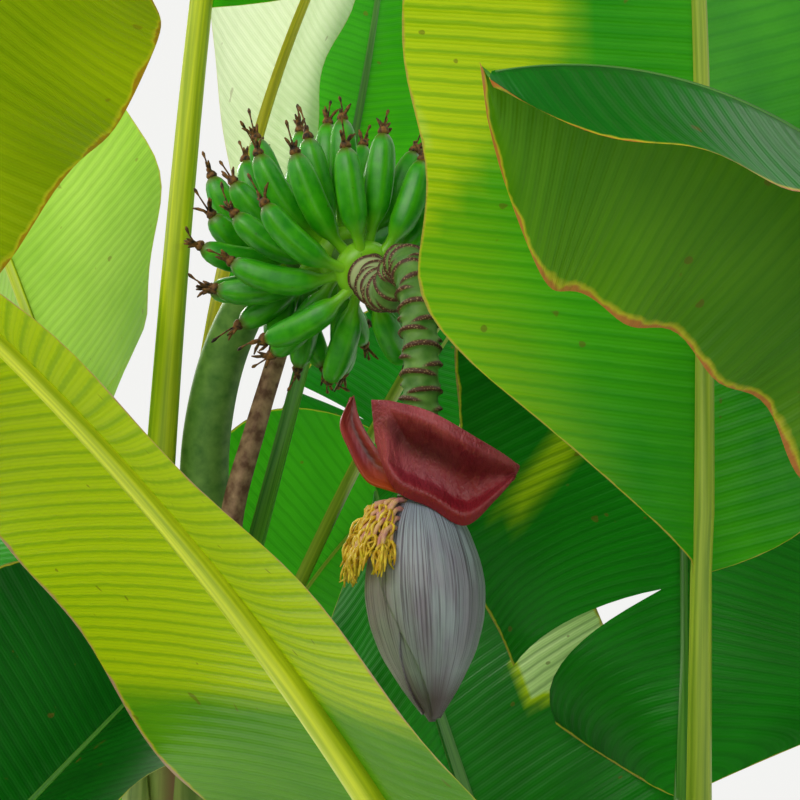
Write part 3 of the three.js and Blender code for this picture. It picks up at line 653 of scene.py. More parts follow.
def mottled(tree, base, bright, size, roughness):
    """Soft or dry plant matter, mottled at the given size in millimetres."""
    position = add(tree, "ShaderNodeTexCoord", out="Object")
    mottle = add(tree, "ShaderNodeTexNoise", {"Vector": position, "Scale": 1000 / size, "Detail": 3})
    colour = coat(tree, base, bright, mottle, (0.35, 0), (0.7, 1))
    return skin(tree, colour, roughness, mottle, 0.4, 0.8)


# Finishes: what makes each, and its values. A blade's are its base and bright colour, its margin's colour and
# width in millimetres, its roughness, and the share of light that shines through. A rib's are two colours.
FINISHES = {
    # The deep and dark blade finishes are partly painted shade, darker copies for leaves that stand in shadow.
    # The pale finish is partly painted light, a washed-out copy for a strongly lit leaf.
    "leaf_blade_fresh": (blade, 0x148802, 0x46B008, 0xB9A04A, 3, 0.44, 0.38),
    "leaf_blade_sunlit": (blade, 0x3F8406, 0x64A00C, 0xC08A7E, 9, 0.46, 0.5),
    "leaf_blade_mid": (blade, 0x147408, 0x3AA012, 0x9A8438, 4, 0.5, 0.35),
    "leaf_blade_deep": (blade, 0x065206, 0x147C0C, 0xA08848, 4, 0.42, 0.28),
    "leaf_blade_dark": (blade, 0x033E06, 0x0A620A, 0x8A8838, 3, 0.4, 0.2),
    "leaf_blade_olive": (blade, 0x3A7404, 0x5E9408, 0xC07038, 9, 0.46, 0.3),
    "leaf_blade_glossy": (blade, 0x0A5410, 0x18761A, 0xB8642C, 8, 0.32, 0.15),
    "leaf_blade_pale": (blade, 0x7CB41E, 0xB4DC5A, 0xB8A868, 2.5, 0.44, 0.5),
    "leaf_blade_bleached": (blade, 0xB4C890, 0xE6EECC, 0xC0B070, 2.5, 0.46, 0.5),
    "leaf_blade_aged": (blade, 0x6C8C04, 0xA0B20C, 0xA8641C, 6, 0.44, 0.42),
    "leaf_rib_yellow": (rib, 0x9CB010, 0xD0D820),
    "leaf_rib_golden": (rib, 0xB8A818, 0xE4CC30),
    "leaf_rib_olive": (rib, 0x6E8A18, 0x9CAE2C),
    "leaf_rib_dark": (rib, 0x2A6A14, 0x58922A),
    "rolled_leaf_sheaths": (sheath,),
    "scarred_stalk_skin": (scarred_skin,),
    "unripe_fruit_peel": (peel,),
    "waxy_bud_bract": (bloomed_bract,),
    "red_bract": (rolled_bract, 0x8C1630, 0xC4505E, 0x8A1828, 0.9),
    "folded_bract": (rolled_bract, 0x6E1826, 0xA8302C, 0xC8520F, 0.25),
    "dried_flower": (mottled, 0x1C0E06, 0x94602A, 5, 0.75),
    "dry_leaf_stalk": (mottled, 0x5E3A2A, 0xA88468, 14, 0.75),
    "yellow_flower": (mottled, 0xC89608, 0xF2D240, 7, 0.5),
    "pinkish_flower_foot": (mottled, 0xC07080, 0xECC478, 12, 0.5),
}


def finish(name):
    """The material of this name, made the first time that it is asked for."""
    material = bpy.data.materials.get(name)
    if not material:
        maker, *values = FINISHES[name]
        material = bpy.data.materials.new(name)
        material.use_nodes = True
        tree = material.node_tree
        tree.nodes.clear()
        surface = maker(tree, *values)
        tree.links.new(surface, tree.nodes.new("ShaderNodeOutputMaterial").inputs["Surface"])
    return material


# Pieces

def inside_by(x, y, corners):
    """How far points lie inside an outline, and less than nothing outside it."""
    corners = np.array(corners, float)
    nearest, inside = np.full(x.shape, 1e9), np.zeros(x.shape, bool)
    for (ax, ay), (bx, by) in zip(corners, np.roll(corners, -1, axis=0)):
        k = np.clip(((x - ax) * (bx - ax) + (y - ay) * (by - ay)) / ((bx - ax) ** 2 + (by - ay) ** 2), 0, 1)
        nearest = np.minimum(nearest, np.hypot(x - ax - k * (bx - ax), y - ay - k * (by - ay)))
        if ay != by:
            inside ^= ((ay > y) != (by > y)) & (x < (bx - ax) * (y - ay) / (by - ay) + ax)
    return np.where(inside, nearest, -nearest)


def blade_tears(name, sizes, dice):
    """A leaf's tears: those that the photograph shows, and a few where the wind gets at it."""
    tears = list(TEARS.get(name, []))
    if name in OUTER_LEAVES:
        for side in (-1, 1):
            for _ in range(sizes.outer_tears):
                tears.append((side, dice.uniform(0.15, 0.85), dice.uniform(0.25, 0.6), dice.uniform(5, 17)))
    return tears


def blade_rows(count, tears):
    """Where rows of corners lie along a blade, closer at its ends, and the tear of each row that has one: a
    torn row has its twin just beyond it."""
    steps = np.linspace(0, 1, count + 1)
    rows = list(steps * 0.4 + (0.5 - 0.5 * np.cos(math.pi * steps)) * 0.6)
    for _, at, _, _ in tears:
        rows = [t for t in rows if abs(t - at) > 0.006] + [at, at + 1e-6]
    rows = np.array(sorted(rows))
    return rows, {int(np.argmin(abs(rows - tear[1]))): tear for tear in tears}


def half_blade(name, leaf, stem, side, rows, torn, swing, phase, sizes):
    """One half of a blade, on side -1 (left) or 1 (right): its corners, and how far across they and the
    margin lie. swing holds how far each row's torn strip hangs to and fro."""
    number = int(side > 0)
    spread = np.linspace(0, 1, sizes.blade_columns + 1)
    lean = LEAN.get(name, 0) * leaf["width"] / 2 / leaf["blade"]
    t = rows[:, None] - lean * np.sin(math.pi * rows)[:, None] * spread
    start = np.ones(len(rows))
    for r, (half, at, inner, mouth) in torn.items():
        if half == side:
            apart = np.clip((spread - inner) / (1 - inner), 0, 1) ** 0.7 * mouth / 2 / leaf["blade"]
            beside = abs(rows - (rows[r] + rows[r + 1]) / 2)[:, None] * leaf["blade"] / (2.5 * mouth)
            apart = apart * np.clip(1 - beside, 0, 1)
            t += np.where(np.arange(len(rows))[:, None] <= r, -apart, apart)
            near = abs(rows - at) * leaf["blade"] < TORN_STRIP
            start = np.minimum(start, np.where(near, inner, 1))
    t = np.clip(t, 0, 1)
    share = (leaf["stalk"] + t * leaf["blade"]) / (leaf["stalk"] + leaf["blade"])
    _, right, top = (v.reshape(t.shape + (3,)) for v in leaf_frames(leaf, share.ravel()))
    at = rib_line(leaf, stem, share.ravel()).reshape(t.shape + (3,))
    rib_edge = rib_half(leaf, share)
    reach = half_width(leaf, t, number, share)
    across = rib_edge * BLADE_START + (reach - rib_edge * BLADE_START) * spread
    opened = ease(t * 6)
    cup = math.radians(leaf["cup"][number]) * opened
    height = np.sin(cup) * np.maximum(0, across - rib_edge)
    height += WAVE_HEIGHT * np.sin(t * WAVE_COUNT * 2 * math.pi + side) * (across / reach) ** 2 * opened
    ripple = np.sin(t * leaf["blade"] / RIPPLE_LENGTH + side + phase)
    height += sizes.ripple * ripple * (across / reach) ** 4 * opened
    loose = np.clip((spread - start[:, None]) / np.maximum(1e-3, 1 - start[:, None]), 0, 1) ** 2
    height += swing[:, None] * loose
    height += np.sin(spread * math.pi) * sizes.blade_arch * opened * np.sign(leaf["cup"][number] or 1)
    return at + right * (side * across * np.cos(cup))[..., None] + top * height[..., None], across, reach


def open_tears(piece, cells, torn):
    """Takes out the faces that span a tear, and tells the faces of the two halves and the rib apart."""
    r, c = np.divmod(np.arange(len(piece.data.polygons)), 2 * cells + 2)
    kinds = np.where(c < cells, 0, np.where(c > cells + 1, 2, 1))
    gone = np.zeros(len(r), bool)
    for row, (half, _, inner, _) in torn.items():
        out = (c - cells - 2 if half > 0 else cells - 1 - c) / cells
        gone |= (r == row) & (out >= max(0, inner - 1 / cells))
    piece.data.polygons.foreach_set("material_index", kinds.astype(np.int32))
    bpy.ops.object.mode_set(mode="EDIT")
    bpy.ops.mesh.select_all(action="DESELECT")
    bpy.ops.object.mode_set(mode="OBJECT")
    piece.data.polygons.foreach_set("select", gone)
    bpy.ops.object.mode_set(mode="EDIT")
    bpy.ops.mesh.select_mode(type="FACE")
    bpy.ops.mesh.delete(type="FACE")
    bpy.ops.mesh.select_all(action="SELECT")
    bpy.ops.mesh.remove_doubles(threshold=2e-5)
    bpy.ops.object.mode_set(mode="OBJECT")


def leaf_blade(name, leaf, stem, sizes, dice):
    """The blade and the channel on top of its rib, as one sheet, torn along its side veins."""
    tears = blade_tears(name, sizes, dice)
    rows, torn = blade_rows(sizes.blade_rows, tears)
    cells = sizes.blade_columns
    shape = (len(rows), 2 * cells + 3)
    places, uv = np.zeros(shape + (3,)), np.zeros(shape + (2,))
    margin, pale = np.full(shape, 200.0), np.zeros(shape)
    hang = {side: np.array([dice.uniform(-14, 14) for _ in range(len(tears) + 1)]) for side in (-1, 1)}
    for side, columns in ((-1, slice(cells, None, -1)), (1, slice(cells + 2, None))):
        strip = np.cumsum([r in torn and torn[r][0] == side for r in range(len(rows))])
        places[:, columns], across, reach = half_blade(
            name, leaf, stem, side, rows, torn, hang[side][strip], dice.uniform(0, 6), sizes
        )
        down = rows[:, None] * leaf["blade"] - VEIN_LEAN * across
        uv[:, columns] = np.stack([across * side, down], -1)
        margin[:, columns] = reach - across
        for corners, soft, light in SUNLIT.get(name, []):
            inside = inside_by(across * side, down, corners)
            pale[:, columns] = np.maximum(pale[:, columns], light * ease(0.5 + inside / soft))
    share = (leaf["stalk"] + rows * leaf["blade"]) / (leaf["stalk"] + leaf["blade"])
    sunk = leaf_frames(leaf, share)[2] * (rib_half(leaf, share) * RIB_DEPTH_SHARE * 0.25)[:, None]
    places[:, cells + 1] = rib_line(leaf, stem, share) - sunk
    uv[:, cells + 1, 1] = rows * leaf["blade"]
    piece = grid_piece(f"{name}_blade", places, uv, margin=margin, pale=pale)
    open_tears(piece, cells, torn)
    return piece


def leaf_rib(name, leaf, stem):
    """The channelled stalk that runs on as the rib under the blade."""
    length = leaf["stalk"] + leaf["blade"]
    begin = leaf["stalk"] / length
    shares = np.append(np.linspace(0, begin, 12, endpoint=False), np.linspace(begin, 0.995, 44))
    sides = 18
    angle = np.linspace(0, 2 * math.pi, sides + 1)
    centre = rib_line(leaf, stem, shares)
    _, right, top = leaf_frames(leaf, shares)
    half = rib_half(leaf, shares)
    x = np.cos(angle)
    channel = np.sqrt(np.clip(1 - x**2, 0, 1))
    before = ease(1 - (shares * length - leaf["stalk"]) / 60)[:, None]
    upper = -half[:, None] * RIB_DEPTH_SHARE * (0.25 + 0.12 * before) * channel - 0.8
    lower = -half[:, None] * RIB_DEPTH_SHARE * channel
    height = np.where(np.sin(angle) >= 0, upper, lower) + before * 3
    places = centre[:, None] + right[:, None] * (half[:, None] * x)[..., None]
    places = places + top[:, None] * height[..., None]
    ends = [np.repeat(places[i].mean(axis=0)[None], sides + 1, axis=0)[None] for i in (0, -1)]
    places = np.concatenate([ends[0], places, ends[1]])[:, ::-1]
    rows = np.concatenate([[0], shares * length, [length]])
    uv = np.stack(np.broadcast_arrays(angle[None, ::-1] * 12, rows[:, None]), -1)
    piece = grid_piece(f"{name}_rib", places, uv, closed=True)
    piece.data.polygons.foreach_set("material_index", np.ones(len(piece.data.polygons), np.int32))
    return piece


def leaf_sheath(name, leaf, stem):
    """The leaf's foot: a tapering sheath that wraps the stem below it, and sinks into the stem at its end."""
    start, out = leaf_start(leaf, stem)
    facing = math.atan2(out[1], out[0])
    across = np.linspace(-1, 1, 13)
    places = []
    for fall in np.linspace(0, 1, 14):
        k = (start[2] + SHEATH_ABOVE - SHEATH_LENGTH * fall) / stem["height"]
        turn = facing + math.radians(SHEATH_TOP_TURN + SHEATH_MORE_TURN * fall**0.7) * across
        bulge = SHEATH_BULGE * (1 - abs(across) ** 3) * (1 - fall)
        radius = stem_radius(stem, min(1, k)) + bulge + 3.2 - 1.9 * abs(across) - SHEATH_SINK * fall**3
        round_stem = np.stack([np.cos(turn), np.sin(turn), 0 * turn], -1)
        places.append(stem_centre(stem, k) + round_stem * radius[:, None])
    piece = grid_piece(f"{name}_sheath", np.array(places)[::-1])
    thicken(piece, 3)
    piece.data.polygons.foreach_set("material_index", np.full(len(piece.data.polygons), 3, np.int32))
    return piece


def stem_piece(name, stem, sizes):
    """A stem of sheaths rolled round each other: each laps over the next with a step that winds slowly
    upward."""
    rows, sides = sizes.stem_rows, sizes.stem_sides
    shares = np.linspace(0, 1, rows + 1) ** 1.3
    angle = np.linspace(0, 2 * math.pi, sides + 1)
    centres = np.array([stem_centre(stem, k) for k in shares])
    radii = np.array([stem_radius(stem, k) for k in shares])
    # The innermost sheaths close over the crown in a blunt point.
    heights, narrowing = np.array(CROWN_POINT).T
    shares = np.append(shares, np.ones(len(heights)))
    centres = np.vstack([centres, centres[-1] + np.outer(heights, (0, 0, 1))])
    radii = np.append(radii, stem["high"] * narrowing)
    turn = (angle[None] / (2 * math.pi) * 3 + shares[:, None] * 0.9) % 1
    step = 1 - 0.045 * turn + 0.012 * np.sin(angle * 7)[None]
    step[:, -1] = step[:, 0]
    places = tube_places(centres, radii, sides, level=True, section=step)
    edge = np.vstack([turn[:1], turn, turn[-1:]])
    edge[:, -1] = edge[:, 0]
    places[0, :, 2] = places[1, :, 2] = 0
    return grid_piece(f"stem_{name}_sheaths", places, closed=True, edge=edge)


def stalk_piece(name, start, end, rows, sides, radius_at, ledge_at=None):
    """A length of the bunch stalk, with ledges where ledge_at(distance, angle) says."""
    shares = np.linspace(start, end, rows + 1)
    points = smooth_line(STALK_POINTS, shares)
    radii = np.array([radius_at(k) for k in np.linspace(0, 1, rows + 1)])
    walked = np.concatenate([[0], np.cumsum(np.linalg.norm(np.diff(points, axis=0), axis=1))])
    angle = np.linspace(0, 2 * math.pi, sides + 1)
    section, scar = None, np.zeros((rows + 3, sides + 1))
    if ledge_at:
        raised = ledge_at(walked[:, None], angle[None])
        raised[:, -1] = raised[:, 0]
        section = 1 + raised * SCAR_HEIGHT / radii[:, None]
        scar[1:-1] = raised
    places = tube_places(points, radii, sides, section=section)
    beginning = np.repeat(np.concatenate([[0], walked, walked[-1:]])[:, None] / 200, sides + 1, axis=1)
    return grid_piece(name, places, closed=True, scar=scar, start=beginning)


def scars(walked, angle):
    """Ledges round the bare stalk: half rings that turn from side to side, each a little oblique, with a thin
    lip."""
    raised = np.zeros(np.broadcast(walked, angle).shape)
    for i in range(SCAR_COUNT):
        facing = i * GOLDEN_TURN
        middle = SCAR_PITCH * (i + 0.5) - 3.5 * np.cos(angle - facing)
        gap = walked - middle
        lip = np.where(gap < 0, np.exp(-((gap / 4) ** 2)), np.exp(-((gap / 1.4) ** 2)))
        raised = np.maximum(raised, lip * ease(0.5 + 0.75 * np.cos(angle - facing)))
    return raised


# A fruit's outline: shares of its length, and its radius there against the body's.
FRUIT_SHARES = np.array([0, 0.08, 0.17, 0.24, 0.31, 0.4, 0.5, 0.62, 0.74, 0.84, 0.91, 0.96, 0.985, 1])
FRUIT_PROFILE = np.array([0.5, 0.4, 0.37, 0.46, 0.74, 0.95, 1, 1.02, 1.0, 0.93, 0.8, 0.62, 0.44, 0.34])


def fruit_line(foot, outward, axis, length):
    """A fruit's middle line: away from the stalk, then turning upward, which those that hang under it hardly
    do."""
    k = (np.arange(50) + 0.5) / 50
    along = outward * (1 - 0.3 * k)[:, None] - axis * (FRUIT_LEAN * k)[:, None]
    along[:, 2] += FRUIT_LIFT * (1 + 0.8 * outward[2]) * k
    walked = np.vstack([foot, foot + np.cumsum(unit(along) * length / 50, axis=0)])
    return np.stack([np.interp(FRUIT_SHARES, np.linspace(0, 1, 51), walked[:, i]) for i in range(3)], -1)


def hand_pieces(number, sizes, dice):
    """One hand of fruit, and the dried flower remains at its tips."""
    at, length, count, turn = HANDS[number]
    centre, ahead = smooth_line(STALK_POINTS, [at, at + 0.004])
    axis = unit(ahead - centre)
    up = unit(np.array([0, 0, 1]) - axis * axis[2])
    side = np.cross(axis, up)
    sides = sizes.fruit_sides
    angle = np.linspace(0, 2 * math.pi, sides + 1)
    pieces, remains = [], []
    for i in range(count):
        a = math.radians(turn + HAND_ARC * i / (count - 1))
        outward = up * math.cos(a) + side * math.sin(a)
        foot = centre + outward * (STALK_END_RADIUS - 2) + axis * (ROW_STEP if i % 2 else -ROW_STEP)
        line = fruit_line(foot, outward, axis, length * (0.92 if i % 2 else 1))
        ridges = 0.5 + 0.5 * np.cos(5 * angle + dice.uniform(0, 1))
        body = ease((FRUIT_SHARES - 0.25) / 0.2)[:, None]
        section = 1 + (0.09 * (ridges - 0.6))[None] * body
        section[:, -1] = section[:, 0]
        places = tube_places(line, FRUIT_PROFILE * sizes.fruit_radius / MM, sides, axis, section=section)
        share = np.repeat(np.concatenate([[0], FRUIT_SHARES, [1]])[:, None], sides + 1, axis=1)
        ridge = np.repeat(ridges[None], len(places), axis=0)
        pieces.append(grid_piece("fruit", places, closed=True, share=share, ridge=ridge))
        remains += dried_flower(line[-1], unit(line[-1] - line[-2]), dice)
    ring = centre + axis * np.linspace(-15, 15, len(COLLAR_RADII))[:, None]
    collar = tube_places(ring, COLLAR_RADII, 24)
    plain = np.ones(collar.shape[:2])
    pieces.append(grid_piece("collar", collar, closed=True, share=plain * 0.1, ridge=plain * 0))
    return join(f"hand_{number + 1}_fruit", pieces), array_mesh(f"hand_{number + 1}_dried_flowers", remains)


def dried_flower(tip, along, dice):
    """The shrivelled flower left on a fruit's tip: a ragged cap, a few curled shreds and a thin style with a
    knob."""
    parts = []
    any_way = np.array([dice.uniform(-1, 1) for _ in range(3)])
    side = unit(np.cross(along, any_way))
    cap = np.array([tip - along * 1.5, tip + along * 2, tip + along * 5.5, tip + along * 8])
    parts.append(small_tube(cap, [5.2, 6.6, 5, 2.2], 7, side))
    for j in range(4):
        turn = dice.uniform(0, 2 * math.pi)
        out = side * math.cos(turn) + np.cross(along, side) * math.sin(turn)
        bend = dice.uniform(0.1, 0.9)
        reach = dice.uniform(8, 17)
        k = np.array([0, 0.4, 0.75, 1])
        points = tip + np.outer(3 + reach * k, along) + np.outer(2.5 + bend * reach * k * k, out)
        parts.append(small_tube(points, [2.2, 1.7, 1.9, 0.8], 5, side))
    reach = dice.uniform(18, 34)
    out = side * dice.uniform(-0.5, 0.5)
    k = np.array([0, 0.35, 0.7, 0.9, 1])
    points = tip + np.outer(4 + reach * k, along) + np.outer(reach * k * k, out)
    parts.append(small_tube(points, [1.5, 1.0, 0.9, 2.1, 0.9], 5, side))
    return parts


def dry_stalk_piece():
    """The shrunken brown leaf stalk beside the mother stem, fluted lengthwise."""
    rows, sides = 40, 16
    points = smooth_line(DRY_STALK_POINTS, np.linspace(0, 1, rows))
    angle = np.linspace(0, 2 * math.pi, sides + 1)
    groove = 0.3 * np.exp(-((angle - 1.6) ** 2) * 4)
    shrunk = np.array([1 + 0.1 * np.sin(angle * 5 + i * 0.1) - groove for i in range(rows)])
    places = tube_places(points, np.linspace(15, 11, rows), sides, section=shrunk)
    return grid_piece("dry_leaf_stalk", places, closed=True)


def bud_radius(k):
    """The bud's radius at shares of its length, smoothed over its profile's corners."""
    fine = np.linspace(0, 1, 41)
    widths = np.pad(np.interp(fine, *np.array(BUD_PROFILE, float).T), 2, mode="edge")
    return np.interp(k, fine, np.convolve(widths, [0.1, 0.2, 0.4, 0.2, 0.1], "valid"))


def bud_shell(name, spread, offset, top, bottom, turn, rows=56, sides=56):
    """One wrapped bract of the bud: a shell of the bud's own outline over part of its round."""
    k = np.linspace(top, bottom, rows + 1)[:, None]
    foot, axis = np.array(BUD_TOP), np.array(BUD_TIP) - np.array(BUD_TOP)
    along = unit(axis)
    across = unit(np.array([1.0, 0, 0]) - along * along[0])
    narrow = 1 if spread >= 360 else 1 - 0.52 * np.maximum(0, (k - 0.3) / (bottom - 0.3))
    angle = np.radians(turn + spread * narrow * (np.linspace(0, 1, sides + 1) - 0.5)) + 0 * k
    fluting = 0.008 * np.sin(angle * 26) * np.sin(math.pi * np.minimum(1, k * 1.1))
    wide = (bud_radius(k) + offset) * (1 + fluting)
    places = foot + (axis * k)[:, None]
    places = places + (wide * np.cos(angle))[..., None] * across
    places = places + (wide * np.sin(angle))[..., None] * np.cross(along, across)
    share = k + 0 * angle
    uv = np.stack([angle * 50, share * 200], -1)[:, ::-1]
    facing = 0.5 + 0.5 * np.cos(angle[:, ::-1])
    return grid_piece(name, places[:, ::-1], uv, closed=spread >= 360, share=share, turn=facing)


def bract_piece(name, lower, upper, hollow, roll, rows=56, columns=40):
    """A lifted bract: a cupped shell between its lower and upper edge, rolled over towards the front along
    its upper edge and its far end."""
    low, high = (
        smooth_line(np.array(edge) * (1, -1, 1) + np.array(BRACT_FOOT), np.linspace(0, 1, rows + 1))
        for edge in (lower, upper)
    )
    k = np.linspace(0, 1, columns + 1)[None]
    r = np.linspace(0, 1, rows + 1)[:, None]
    places = low[:, None] * (1 - k)[..., None] + high[:, None] * k[..., None]
    places[..., 1] += hollow * np.sin(math.pi * k) * np.sin(math.pi * (r * 7 + 1.5) / 9)
    places[..., 1] += hollow * 0.03 * np.sin(r * 70 + 3 * np.sin(k * 9)) * np.sin(math.pi * k)
    upper_lip = np.exp(-(((k - 0.84) / 0.13) ** 2)) * np.sin(math.pi * r) ** 0.5
    end_lip = np.exp(-(((r - 0.88) / 0.1) ** 2)) * np.sin(math.pi * k) ** 0.5
    lower_lip = 0.8 * np.exp(-(((k - 0.13) / 0.1) ** 2)) * np.sin(math.pi * r) ** 0.5
    places[..., 1] -= roll * np.maximum(np.maximum(upper_lip, end_lip), lower_lip)
    uv = np.stack(np.broadcast_arrays(r * 150, k * 90), -1)
    foot = np.clip(1 - (places[..., 2] - BRACT_FOOT[2] + 20) / 60, 0, 1)
    # Where shade is painted into the hollow under the upper lip, and where light is painted on the hollow's
    # floor.
    deep = np.exp(-(((k - 0.62) / 0.16) ** 2)) * np.sin(math.pi * r) ** 0.7
    floor = np.exp(-(((k - 0.36) / 0.14) ** 2) - ((r - 0.5) / 0.2) ** 2)
    piece = grid_piece(name, places, uv, foot=foot, deep=deep, floor=floor)
    thicken(piece, 3.2, 1)
    return piece


def male_flowers(count, dice):
    """The fan of male flowers at the bud's shoulder: short pinkish tubes whose yellow tips split into thin
    curled threads."""
    threads, feet = [], []
    for row in range(4):
        for i in range(count):
            turn = math.radians(146 + 98 * (i + dice.uniform(0.2, 0.8)) / count)
            outward = np.array([math.cos(turn), math.sin(turn), 0])
            foot = np.array(BUD_TOP) + outward * (20 + 7 * row) + np.array([0, 0, -6 - 9 * row])
            reach = dice.uniform(18, 27)
            drop = dice.uniform(12, 26) + 3 * row
            k = np.linspace(0, 1, 5)
            points = foot + outward * (reach * np.sin(k * 1.3))[:, None]
            points[:, 2] += 8 * k - drop * k * k
            points[:, :2] += np.array([dice.uniform(-4, 4), dice.uniform(-4, 4)]) * k[:, None] ** 2
            feet.append(small_tube(points, [2.8, 2.5, 2.2, 2.3, 1.9], 6, (0.3, 0.2, 1)))
            along = unit(points[-1] - points[-2])
            side = unit(np.cross(along, [0.3, 0.4, 0.8]))
            for j in range(5):
                a = j * 1.26 + dice.uniform(-0.5, 0.5)
                out = side * math.cos(a) + np.cross(along, side) * math.sin(a)
                length, curl = dice.uniform(14, 25), dice.uniform(0.4, 1.7)
                bend = np.linspace(0, 1, 6)
                lobe = points[-1] + np.outer(length * bend - 3, along) + np.outer(
                    2.2 * bend + 4.5 * np.sin(bend * 4.5 * curl), out
                )
                lobe[:, 2] -= 5 * bend**2
                threads.append(small_tube(lobe, [1.6, 1.5, 1.4, 1.3, 1.2, 0.7], 5, side))
    return array_mesh("male_flower_feet", feet), array_mesh("male_flower_threads", threads)


# Settings that a user would change

class BananaLeafSizes(bpy.types.PropertyGroup):
    """How finely the leaves are grown."""
    blade_rows: IntProperty(name="Blade Rows", description="Faces along a blade", default=80, min=20)
    blade_columns: IntProperty(
        name="Blade Columns", description="Faces across each half of a blade", default=12, min=4
    )
    ripple: FloatProperty(
        name="Margin Ripple", description="Height of the fine ripple in a margin, in mm", default=2.5
    )
    blade_arch: FloatProperty(
        name="Arch", description="How far each half of a blade arches, in mm", default=7.0
    )
    outer_tears: IntProperty(
        name="Tears", description="Tears in each half of an outer leaf", default=3, min=0
    )


class BananaStemSizes(bpy.types.PropertyGroup):
    """How finely the stems are made."""
    stem_rows: IntProperty(name="Stem Rows", description="Faces up a stem", default=48, min=8)
    stem_sides: IntProperty(name="Stem Sides", description="Faces round a stem", default=72, min=12)


class BananaBunchSizes(bpy.types.PropertyGroup):
    """Sizes of the bunch and the bud."""
    fruit_radius: FloatProperty(
        name="Fruit Radius", description="Radius of a fruit's body", default=0.0148, unit="LENGTH",
        subtype="DISTANCE",
    )
    fruit_sides: IntProperty(name="Fruit Sides", description="Faces round a fruit", default=20, min=10)
    flower_count: IntProperty(name="Flowers", description="Male flowers in each row", default=11, min=1)


class BananaStage(bpy.types.PropertyGroup):
    """The studio round the plant."""
    floor_colour: FloatVectorProperty(
        name="Floor", description="Colour of the floor", default=linear(0xE6E7E4)[:3], subtype="COLOR",
        min=0, max=1,
    )
    sky_strength: FloatProperty(
        name="Surround", description="Strength of the pale surround", default=0.9, min=0
    )
    key_power: FloatProperty(
        name="Key Light", description="Power of the light behind", default=720, unit="POWER"
    )
    fill_power: FloatProperty(
        name="Fill Light", description="Power of the light in front", default=60, unit="POWER"
    )


class BANANA_OT_stems(bpy.types.Operator):
    """Makes the sheathed stems"""
    bl_idname = "banana.stems"
    bl_label = "Stems"

    def execute(self, context):
        for name, stem in STEMS.items():
            piece = stem_piece(name, stem, context.scene.banana_stems)
            finish_piece(piece, ["rolled_leaf_sheaths"], "stem", f"stem_{name}")
        return {"FINISHED"}


class BANANA_OT_leaves(bpy.types.Operator):
    """Grows the leaves from the stems"""
    bl_idname = "banana.leaves"
    bl_label = "Leaves"

    def execute(self, context):
        dice = random.Random(7)
        for name, given in LEAVES.items():
            leaf = {**PLAIN_LEAF, **given}
            stem = STEMS[name.split("_")[0]]
            blade_part = leaf_blade(name, leaf, stem, context.scene.banana_leaves, dice)
            parts = [blade_part, leaf_rib(name, leaf, stem), leaf_sheath(name, leaf, stem)]
            left, right, middle = LOOKS.get(name, PLAIN_LOOK)
            finishes = [f"leaf_blade_{left}", f"leaf_rib_{middle}", f"leaf_blade_{right}"]
            finishes.append("rolled_leaf_sheaths")
            for part in parts:
                dress(part, finishes)
            finish_piece(join(f"{name}_leaf", parts), finishes, "leaf", f"leaf_{name}")
        return {"FINISHED"}


class BANANA_OT_bunch(bpy.types.Operator):
    """Makes the bunch stalk, its bare ringed end, the hands of fruit and the dry leaf stalk beside them"""
    bl_idname = "banana.bunch"
    bl_label = "Bunch"

    def execute(self, context):
        dice = random.Random(11)
        stalk = stalk_piece(
            "bunch_stalk_skin", 0, LAST_HAND_AT, 70, 28,
            lambda k: STALK_FOOT_RADIUS + (STALK_END_RADIUS - STALK_FOOT_RADIUS) * k,
        )
        finish_piece(stalk, ["scarred_stalk_skin"], "stalk", "bunch_stalk")
        bare = stalk_piece(
            "rachis_scarred", LAST_HAND_AT, 1, 240, 44,
            lambda k: STALK_END_RADIUS + (RACHIS_RADIUS - STALK_END_RADIUS) * min(1, k * 3), scars,
        )
        finish_piece(bare, ["scarred_stalk_skin"], "rachis", "rachis")
        for number in range(len(HANDS)):
            fruit, remains = hand_pieces(number, context.scene.banana_bunch, dice)
            finish_piece(fruit, ["unripe_fruit_peel"], "fruit", f"hand_{number + 1}")
            finish_piece(remains, ["dried_flower"], "dry_stalk")
        finish_piece(dry_stalk_piece(), ["dry_leaf_stalk"], "dry_stalk", "dry_stalk")
        return {"FINISHED"}


class BANANA_OT_bud(bpy.types.Operator):
    """Makes the male bud, its lifted bracts and its flowers"""
    bl_idname = "banana.bud"
    bl_label = "Bud"

    def execute(self, context):
        shells = [bud_shell("bud_core", 360, -0.6, 0, 1, 0, sides=84)]
        for spread, offset, bottom, turn in BUD_WRAPS:
            shells.append(bud_shell("wrap", spread, offset, 0.02, bottom, turn))
            thicken(shells[-1], 1.4)
        finish_piece(join("bud_wrapped_bracts", shells), ["waxy_bud_bract"], "bud", "male_bud")
        for node, (look, *shape) in BRACTS.items():
            finish_piece(bract_piece(f"{node}_shell", *shape), [look], "bract", node)
        feet, tubes = male_flowers(context.scene.banana_bunch.flower_count, random.Random(5))
        finish_piece(tubes, ["yellow_flower"], "flower", "male_flowers")
        finish_piece(feet, ["pinkish_flower_foot"], "flower")
        return {"FINISHED"}


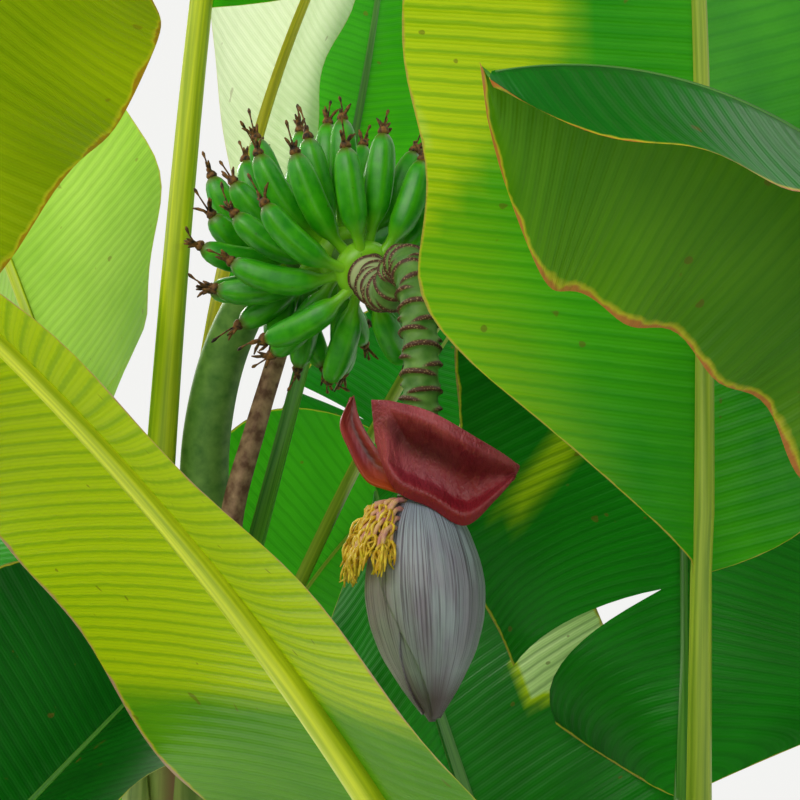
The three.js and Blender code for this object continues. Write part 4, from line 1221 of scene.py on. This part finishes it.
class BANANA_OT_stage(bpy.types.Operator):
    """Makes the floor, the lights and the camera"""
    bl_idname = "banana.stage"
    bl_label = "Stage"

    def execute(self, context):
        stage = context.scene.banana_stage
        bpy.ops.object.select_all(action="DESELECT")
        bpy.ops.mesh.primitive_plane_add(size=40, location=(0, 0, -0.001))
        floor = context.object
        floor.name = "floor"
        material = bpy.data.materials.new("pale_floor")
        material.use_nodes = True
        paint = material.node_tree.nodes["Principled BSDF"].inputs
        paint["Base Color"].default_value, paint["Roughness"].default_value = (*stage.floor_colour, 1), 0.8
        floor.data.materials.append(material)
        world = bpy.data.worlds.new("pale_surround")
        world.use_nodes = True
        world.node_tree.nodes["Background"].inputs[0].default_value = (1.0, 1.0, 0.98, 1)
        world.node_tree.nodes["Background"].inputs[1].default_value = stage.sky_strength
        context.scene.world = world
        for name, power, size, place, aim in (
            ("back_light", stage.key_power, 4, (-3.4, 4.9, 6.6), (0.1, -0.6, 1.6)),
            ("front_light", stage.fill_power, 2.2, (-1.4, -3.6, 3.0), (0.2, -0.4, 1.7)),
        ):
            lamp = bpy.data.lights.new(name, "AREA")
            lamp.energy, lamp.size = power, size
            lamp.color = (1.0, 0.97, 0.9)
            light = bpy.data.objects.new(name, lamp)
            context.scene.collection.objects.link(light)
            way = np.array(aim) - np.array(place)
            light.location = place
            light.rotation_euler = (
                math.atan2(math.hypot(way[0], way[1]), -way[2]), 0, math.atan2(-way[0], way[1])
            )
        eye = bpy.data.cameras.new("photo_camera")
        eye.lens, eye.sensor_width = 77.96, 36
        camera = bpy.data.objects.new("photo_camera", eye)
        context.scene.collection.objects.link(camera)
        camera.location = (0.237, -2.067, 1.513)
        camera.rotation_euler = (math.radians(102), 0, 0)
        context.scene.camera = camera
        context.scene.view_settings.view_transform = "Standard"
        return {"FINISHED"}


class BANANA_PT_panel(bpy.types.Panel):
    """Lists the steps that build the plant"""
    bl_idname = "BANANA_PT_panel"
    bl_label = "Banana Plant"
    bl_space_type = "VIEW_3D"
    bl_region_type = "UI"
    bl_category = "Banana Plant"

    def draw(self, context):
        for step in STEPS:
            self.layout.operator(step.bl_idname)
        for group in SETTINGS:
            settings = getattr(context.scene, group)
            for key in settings.bl_rna.properties.keys():
                if key not in {"rna_type", "name"}:
                    self.layout.prop(settings, key)


STEPS = (BANANA_OT_stems, BANANA_OT_leaves, BANANA_OT_bunch, BANANA_OT_bud, BANANA_OT_stage)
SETTINGS = {
    "banana_leaves": BananaLeafSizes,
    "banana_stems": BananaStemSizes,
    "banana_bunch": BananaBunchSizes,
    "banana_stage": BananaStage,
}


def register():
    for group in SETTINGS.values():
        bpy.utils.register_class(group)
    for step in (*STEPS, BANANA_PT_panel):
        bpy.utils.register_class(step)
    for name, group in SETTINGS.items():
        setattr(bpy.types.Scene, name, PointerProperty(type=group))


def unregister():
    for name in SETTINGS:
        delattr(bpy.types.Scene, name)
    for step in (*STEPS, BANANA_PT_panel):
        bpy.utils.unregister_class(step)
    for group in SETTINGS.values():
        bpy.utils.unregister_class(group)


def main():
    register()
    bpy.ops.banana.stems()
    bpy.ops.banana.leaves()
    bpy.ops.banana.bunch()
    bpy.ops.banana.bud()
    bpy.ops.banana.stage()


if __name__ == "__main__":
    main()
